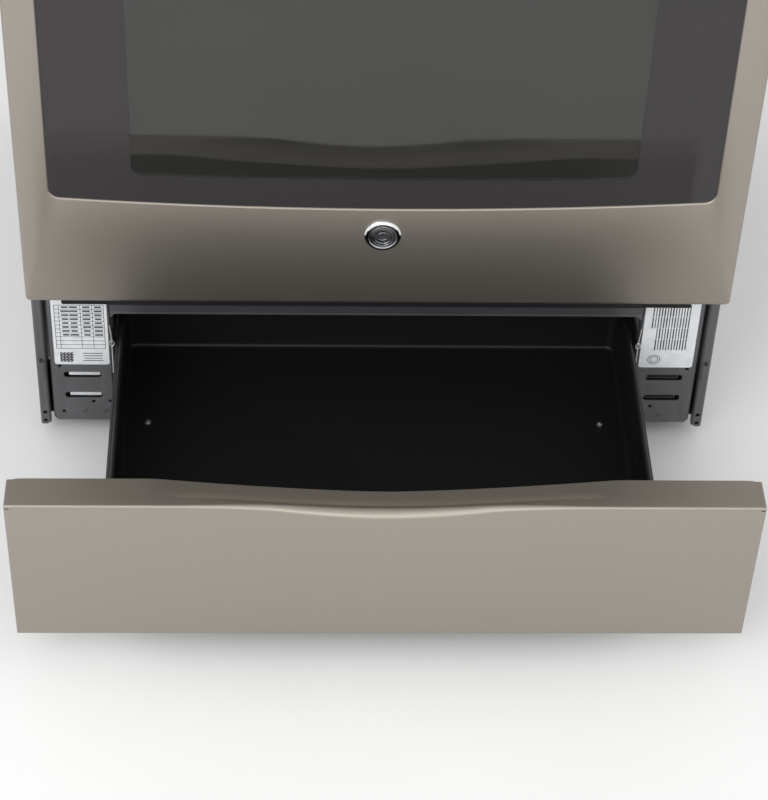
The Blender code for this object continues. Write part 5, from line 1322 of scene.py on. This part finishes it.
def burners():
    for index in range(1, 6):
        head, cap = f"burner_head_{index}", f"burner_cap_{index}"
        (left, near, low), (right, far, high) = span(head)
        (cap_left, cap_near, cap_low), (cap_right, cap_far, cap_high) = span(cap)
        x, middle = (left + right) / 2, (near + far) / 2
        wide, cap_wide = (right - left) / 2, (cap_right - cap_left) / 2
        straight = (far - near) / 2 - wide
        cap_straight = (cap_far - cap_near) / 2 - cap_wide

        def rounded(radius, run, height):
            """Ring of a long round-ended outline; a plain circle when it has no straight run."""
            ring = []
            for t in (2 * math.pi * k / 64 for k in range(64)):
                depth = middle + radius * math.sin(t) + math.copysign(run, math.sin(t + 1e-6))
                ring.append((x + radius * math.cos(t), at(depth), height))
            return ring

        tall = high - low
        body = [(1.0, 0.0), (1.0, 0.0034), (0.975, 0.0040), (0.91, 0.0050), (0.885, 0.0062)]
        body += [(0.885, tall - 0.0008), (0.87, tall)]
        shape = Shape().add(*lofted([rounded(wide * share, straight, low + z) for share, z in body]))
        settle(shape.piece(head + "_casting", ["cast_aluminium"]), "range_body", "aluminium", head)
        thick = cap_high - cap_low
        lid = [(0.93, 0.0), (0.97, 0.0003), (1.0, 0.0016), (0.995, thick * 0.55), (0.96, thick * 0.80)]
        lid += [(0.88, thick * 0.94), (0.78, thick), (0.40, thick * 0.985), (0.10, thick * 0.97)]
        rings = [rounded(cap_wide * share, cap_straight, cap_low + z) for share, z in lid]
        shape = Shape().add(*lofted(rings))
        settle(shape.piece(cap + "_casting", ["cast_iron"]), "range_body", "cast_iron", cap)
        count = sizes().ports if straight < 0.001 else sizes().ports + 12
        points, aims = [], []
        for k in range(count):
            t = 2 * math.pi * (k + 0.5) / count
            side = math.copysign(straight, math.sin(t))
            depth = middle + wide * 0.885 * math.sin(t) + side
            points.append((x + wide * 0.885 * math.cos(t), at(depth), high - 0.0036))
            aims.append((math.cos(t), math.sin(t), 0))
        # The flame ports are near-black patches on the casting: painted shade for the holes.
        values = {"Length": 0.0016, "Width": 0.0038, "Thickness": 0.0006, "Uneven": 0.0, "Seed": 1}
        ports = grow(head + "_ports", strip_tree(head + "_ports", "painted_shade"), points, values, aims)
        settle(ports, "range_body", "aluminium")
        inward = -1 if x > 0.01 else 1
        spark = Matrix.Translation((x + (wide + 0.006) * inward, at(middle), low - 0.0002))
        pin = [(0, 0), (0.0034, 0), (0.0034, 0.006), (0.0024, 0.0075), (0.0012, 0.0082), (0.0012, 0.0120)]
        pin.append((0, 0.0124))
        igniter = Shape().turn(pin, 20, spark).piece(f"igniter_{index}", ["ceramic"], edge=0.0002)
        settle(igniter, "range_body", "nylon")


def grates():
    bar, thick, finger, foot = 0.011, 0.012, 0.0092, 0.014
    spots = {"right": ((0.248, 0.125, 0.020), (0.248, 0.390, 0.014))}
    spots["left"] = tuple((-x, d, clear) for x, d, clear in spots["right"])
    spots["centre"] = ((0.0, 0.2575 - 0.09175, 0.016), (0.0, 0.2575 + 0.09175, 0.016))
    for side, marks in spots.items():
        node = "grate_" + side
        (left, front, base), (right, back, high) = span(node)
        low = high - thick
        middle = (front + back) / 2
        shape = Shape()
        for d in (front, middle - bar / 2, back - bar):
            shape.extrude(rectangle(left, right, d, d + bar), "Z", low, high)
        for x in (left, right - bar):
            shape.extrude(rectangle(x, x + bar, front, back), "Z", low, high)
        for x, spot, clear in marks:
            near, far = (front, middle) if spot < middle else (middle, back)
            for axis, first, last, aim, across in (("Y", left, right, x, spot), ("X", near, far, spot, x)):
                for end, sign in ((first + bar / 2, -1), (last - bar / 2, 1)):
                    tip, under = aim + sign * clear, low + 0.001
                    outline = [(end, under), (tip + sign * 0.010, under), (tip, high - 0.004), (tip, high)]
                    outline.append((end, high))
                    shape.extrude(outline, axis, across - finger / 2, across + finger / 2)
        for x in (left, right - foot):
            for d in (front, middle - foot / 2, back - foot):
                pad = rectangle(x + 0.001, x + foot - 0.001, d + 0.001, d + foot - 0.001)
                shape.extrude(pad, "Z", base, low + 0.004)
        settle(shape.piece(node + "_casting", ["cast_iron"], edge=0.0017), "range_body", "cast_iron", node)


# ---------------------------------------------------------------------------------------------------------
# Controls
# ---------------------------------------------------------------------------------------------------------
def panel_face(x, height, out=0.0):
    """The matrix that puts +Z out of the sloped knob panel at a point on its face."""
    (_, front, low), (_, _, high) = span("knob_panel")
    rise = 0.0445 - 0.0270
    back = front + rise * (height - low) / (high - low)
    turn = Matrix.Rotation(math.pi / 2 - math.atan2(rise, high - low), 4, "X")
    return Matrix.Translation((x, at(back), height)) @ turn @ Matrix.Translation((0, 0, out))


KNOBS = (-0.270, -0.155, 0.0, 0.155, 0.270)
KNOB_HEIGHT = 0.840


def knob_panel():
    (_, front, low), (half, back, high) = span("knob_panel")
    path = [(back, high), (-0.0270, high), (front, low), (back, low)]
    shape = Shape().extrude(folded(path, 0.0015, 0.0025), "X", -half, half)
    end = [(back - 0.0004, high - 0.0004), (-0.0262, high - 0.0004), (front + 0.0008, low + 0.0004)]
    end.append((back - 0.0004, low + 0.0004))
    for _, sign in SIDES:
        shape.extrude(end, "X", sign * (half - 0.0002), sign * (half - 0.0015))
    piece = shape.piece("control_panel", ["slate_steel"], edge=0.0003)
    settle(piece, "range_body", "slate_steel", "knob_panel")
    collars = Shape()
    for x in KNOBS:
        ring = [(0.0068, -0.0004), (0.0262, -0.0004), (0.0262, 0.0012), (0.0257, 0.0017), (0.0243, 0.0017)]
        ring += [(0.0238, 0.0012), (0.0238, 0.0002), (0.0068, 0.0002)]
        collars.turn(ring, 64, panel_face(x, KNOB_HEIGHT), closed=True)
    settle(collars.piece("knob_collars", ["chrome"], edge=0), "range_body", "chrome")
    points, aims = [], []
    out = panel_face(0, KNOB_HEIGHT).to_3x3() @ Vector((0, 0, 1))
    for x in KNOBS:
        for k in range(sizes().ticks):
            t = math.radians(-150 + 300 * k / (sizes().ticks - 1)) + math.pi / 2
            spot = Vector((0.0300 * math.cos(t), 0.0300 * math.sin(t), 0.0001))
            points.append(panel_face(x, KNOB_HEIGHT) @ spot)
            aims.append(out)
    values = {"Length": 0.0013, "Width": 0.0013, "Thickness": 0.0002, "Uneven": 0.0, "Seed": 1}
    ticks = grow("dial_ticks", strip_tree("dial_ticks", "dial_mark"), points, values, aims)
    settle(ticks, "range_body", "dark_paint")
    eased_copy("gas_manifold", "brass", "brass", 0.0006)


def knobs():
    for index, x in enumerate(KNOBS, start=1):
        place = panel_face(x, KNOB_HEIGHT, 0.0055)
        skirt = [(0.0046, 0.0), (0.0222, 0.0), (0.0230, 0.0008), (0.0230, 0.0052)]
        skirt += [(0.0222, 0.0064), (0.0206, 0.0072), (0.0196, 0.0086), (0.0172, 0.0228)]
        skirt += [(0.0160, 0.0240), (0.0, 0.0240), (0.0, 0.0204), (0.0046, 0.0200)]
        shape = Shape().turn(skirt, 72, place, closed=True)
        half, reach = 0.0052, 0.0185
        corners = round_loop(rectangle(-half, half, -reach, reach), 0.0040, 5)
        levels = ((1.0, 0.0100), (1.0, 0.0262), (0.95, 0.0274), (0.86, 0.0280))
        rings = [[place @ Vector((a * share, b * share, z)) for a, b in corners] for share, z in levels]
        shape.add(*lofted(rings))
        pointer = round_loop(rectangle(-0.0007, 0.0007, 0.0040, 0.0150), 0.0005, 3)
        rings = [[place @ Vector((a, b, z)) for a, b in pointer] for z in (0.0270, 0.02802)]
        shape.add(*lofted(rings), 1)
        name = f"knob_{index}"
        settle(shape.piece(name + "_turned", ["slate_steel", "dial_mark"]), name, "slate_steel", name)
        low = panel_face(x, KNOB_HEIGHT, -0.034)
        rod = [(0, 0), (0.0036, 0), (0.0040, 0.0004), (0.0040, 0.0587), (0.0036, 0.0591), (0, 0.0591)]
        stem = Shape().turn(rod, 28, low).piece(f"stem_{index}_turned", ["brass"])
        settle(stem, f"stem_{index}", "brass", f"valve_stem_{index}")


def backguard():
    (_, front, low), (half, back, high) = span("backguard")
    lean, foot = 0.016, low + 0.004
    path = [(back, low), (back, high), (front + lean, high), (front, foot)]
    shape = Shape().extrude(folded(path, 0.0015, 0.0035), "X", -half, half)
    end = [(back - 0.0004, low + 0.0004), (back - 0.0004, high - 0.0004)]
    end += [(front + lean + 0.0008, high - 0.0004), (front + 0.0008, low + 0.0004)]
    for _, sign in SIDES:
        shape.extrude(end, "X", sign * (half - 0.0002), sign * (half - 0.0015))
    settle(shape.piece("guard", ["slate_steel"], edge=0.0004), "range_body", "slate_steel", "backguard")
    # The vents are near-black strips on the guard's top: painted shade for the slots.
    points = [(x, at(back - 0.022), high - 0.00005) for x in evenly(half - 0.05, sizes().slots)]
    size = (0.0042, 0.022, 0.0002)
    strips("guard_vents", "range_body", "dark_paint", "painted_shade", points, (0, 0, 1), size)
    upright = Vector((lean, high - foot)).normalized()
    out = Vector((-upright.y, upright.x))

    def face_point(x, height, off):
        spot = Vector((front, foot)) + upright * height + out * off
        return Vector((x, at(spot.x), spot.y))

    shape = Shape()
    levels = ((0.0, 0.0004), (0.0, 0.0038), (0.0005, 0.0043))
    rings = []
    for inset, off in levels:
        loop = round_loop(rectangle(inset - 0.265, 0.265 - inset, 0.075 + inset, 0.225 - inset), 0.010, 6)
        rings.append([face_point(x, height, off) for x, height in loop])
    shape.add(*lofted(rings))
    settle(shape.piece("controls_glass", ["control_glass"]), "range_body", "glass", "control_glass")
    aim = Vector((0, out.x, out.y))
    keys, digits = (-0.215, -0.180, -0.145, 0.145, 0.180, 0.215), (-0.030, -0.010, 0.010, 0.030)
    for name, columns, rows, size in (
        ("control_keys", keys, (0.110, 0.145, 0.180), (0.014, 0.0009, 0.0001)),
        ("control_digits", digits, (0.1500, 0.1600, 0.1700), (0.009, 0.0012, 0.0001)),
    ):
        spots = [face_point(x, height, 0.0044) for x in columns for height in rows]
        strips(name, "range_body", "glass", "dial_mark", spots, aim, size)


# ---------------------------------------------------------------------------------------------------------
# Stage
# ---------------------------------------------------------------------------------------------------------
def stage():
    """A plain pale floor, two lamps in front, a sky that dims behind the range, and the camera."""
    scene = bpy.context.scene
    scene.view_settings.view_transform = "Standard"
    material, tree, shader, place = surface("floor_paint", colours().floor, 0.6)
    tint(tree, shader, noise(tree, place, (3, 3, 3), 3.0), colours().floor, 0.985, 1.015)
    mesh = bpy.data.meshes.new("floor")
    reach = 12.0
    corners = [(x, y, 0) for x, y in rectangle(-reach, reach, -reach, reach)]
    mesh.from_pydata(corners, [], [(0, 1, 2, 3)])
    mesh.materials.append(material)
    floor = bpy.data.objects.new("floor", mesh)
    scene.collection.objects.link(floor)
    world = bpy.data.worlds.new("studio")
    world.use_nodes = True
    tree = world.node_tree
    direction = add_node(tree, "ShaderNodeTexCoord").outputs["Generated"]
    inputs = {0: direction, 1: (0, 0.72, 0.69)}
    behind = add_node(tree, "ShaderNodeVectorMath", inputs, operation="DOT_PRODUCT")
    ends = {"Value": behind.outputs["Value"], 1: 0.35, 2: 0.95, 3: 1.02, 4: 0.60}
    strength = add_node(tree, "ShaderNodeMapRange", ends).outputs[0]
    sky = tree.nodes["Background"]
    tree.links.new(strength, sky.inputs["Strength"])
    sky.inputs["Color"].default_value = (1, 1, 1, 1)
    scene.world = world
    for name, spot, aim, size, energy in (
        ("key", (-1.9, -2.9, 2.5), (0, 0, 0.3), 2.4, 52),
        ("fill", (0.6, -3.4, 0.9), (0, 0, 0.3), 1.6, 16),
    ):
        light = bpy.data.lights.new(name, "AREA")
        light.energy, light.size = energy, size
        lamp = bpy.data.objects.new(name, light)
        lamp.location = spot
        lamp.rotation_euler = (Vector(aim) - Vector(spot)).to_track_quat("-Z", "Y").to_euler()
        scene.collection.objects.link(lamp)
    camera = bpy.data.cameras.new("camera")
    camera.lens, camera.sensor_width = 111.52, 36.0
    view = bpy.data.objects.new("camera", camera)
    forward = Vector((0.0416558, 0.7260116, -0.6864197)).normalized()
    right = Vector((0.9991210, -0.0270370, 0.0320358)).normalized()
    up = right.cross(forward)
    turn = Matrix((right, up, -forward)).transposed().to_4x4()
    view.matrix_world = Matrix.Translation((-0.10577, -2.18536, 1.99131)) @ turn
    scene.collection.objects.link(view)
    scene.camera = view


# ---------------------------------------------------------------------------------------------------------
# Operators
# ---------------------------------------------------------------------------------------------------------
class RANGE_OT_drawer(bpy.types.Operator):
    """Make the drawer's front, its pan and its rails"""

    bl_idname = "range.drawer"
    bl_label = "Drawer"

    def execute(self, context):
        drawer_front()
        drawer_pan()
        drawer_rails()
        return {"FINISHED"}


class RANGE_OT_chassis(bpy.types.Operator):
    """Make the folded sides, front plates, bar, labels and back"""

    bl_idname = "range.chassis"
    bl_label = "Chassis"

    def execute(self, context):
        side_panels()
        front_plates()
        crossbar()
        labels()
        rear_panel()
        return {"FINISHED"}


class RANGE_OT_slides(bpy.types.Operator):
    """Make the drawer's slides and the levelling legs"""

    bl_idname = "range.slides"
    bl_label = "Slides and legs"

    def execute(self, context):
        slides()
        legs()
        return {"FINISHED"}


class RANGE_OT_door(bpy.types.Operator):
    """Make the oven door with its window, badge and handle"""

    bl_idname = "range.door"
    bl_label = "Oven door"

    def execute(self, context):
        door_skin()
        door_glass()
        badge()
        handle()
        door_inside()
        return {"FINISHED"}


class RANGE_OT_oven(bpy.types.Operator):
    """Make the oven's lining, burners, gasket and racks"""

    bl_idname = "range.oven"
    bl_label = "Oven"

    def execute(self, context):
        oven()
        racks()
        return {"FINISHED"}


class RANGE_OT_cooktop(bpy.types.Operator):
    """Make the pressed cooktop, its burners and its grates"""

    bl_idname = "range.cooktop"
    bl_label = "Cooktop"

    def execute(self, context):
        cooktop()
        burners()
        grates()
        return {"FINISHED"}


class RANGE_OT_controls(bpy.types.Operator):
    """Make the knob panel, the knobs and the rear guard"""

    bl_idname = "range.controls"
    bl_label = "Controls"

    def execute(self, context):
        knob_panel()
        knobs()
        backguard()
        return {"FINISHED"}


class RANGE_OT_stage(bpy.types.Operator):
    """Make the floor, the lights and the camera"""

    bl_idname = "range.stage"
    bl_label = "Stage"

    def execute(self, context):
        stage()
        return {"FINISHED"}


PIECES = (
    RANGE_OT_drawer,
    RANGE_OT_chassis,
    RANGE_OT_slides,
    RANGE_OT_door,
    RANGE_OT_oven,
    RANGE_OT_cooktop,
    RANGE_OT_controls,
    RANGE_OT_stage,
)


class RANGE_PT_sidebar(bpy.types.Panel):
    """Lists the operators of the range"""

    bl_idname = "RANGE_PT_sidebar"
    bl_label = "Freestanding range"
    bl_space_type = "VIEW_3D"
    bl_region_type = "UI"
    bl_category = "Range"

    def draw(self, context):
        for operator in PIECES:
            self.layout.operator(operator.bl_idname)


CLASSES = (RangeSizes, RangeColours, *PIECES, RANGE_PT_sidebar)


def register():
    for item in CLASSES:
        bpy.utils.register_class(item)
    bpy.types.Scene.range_sizes = PointerProperty(type=RangeSizes)
    bpy.types.Scene.range_colours = PointerProperty(type=RangeColours)


def unregister():
    del bpy.types.Scene.range_colours
    del bpy.types.Scene.range_sizes
    for item in reversed(CLASSES):
        bpy.utils.unregister_class(item)


def main():
    register()
    for piece in PIECES:
        name = piece.bl_idname.split(".")[1]
        getattr(bpy.ops.range, name)()


if __name__ == "__main__":
    main()
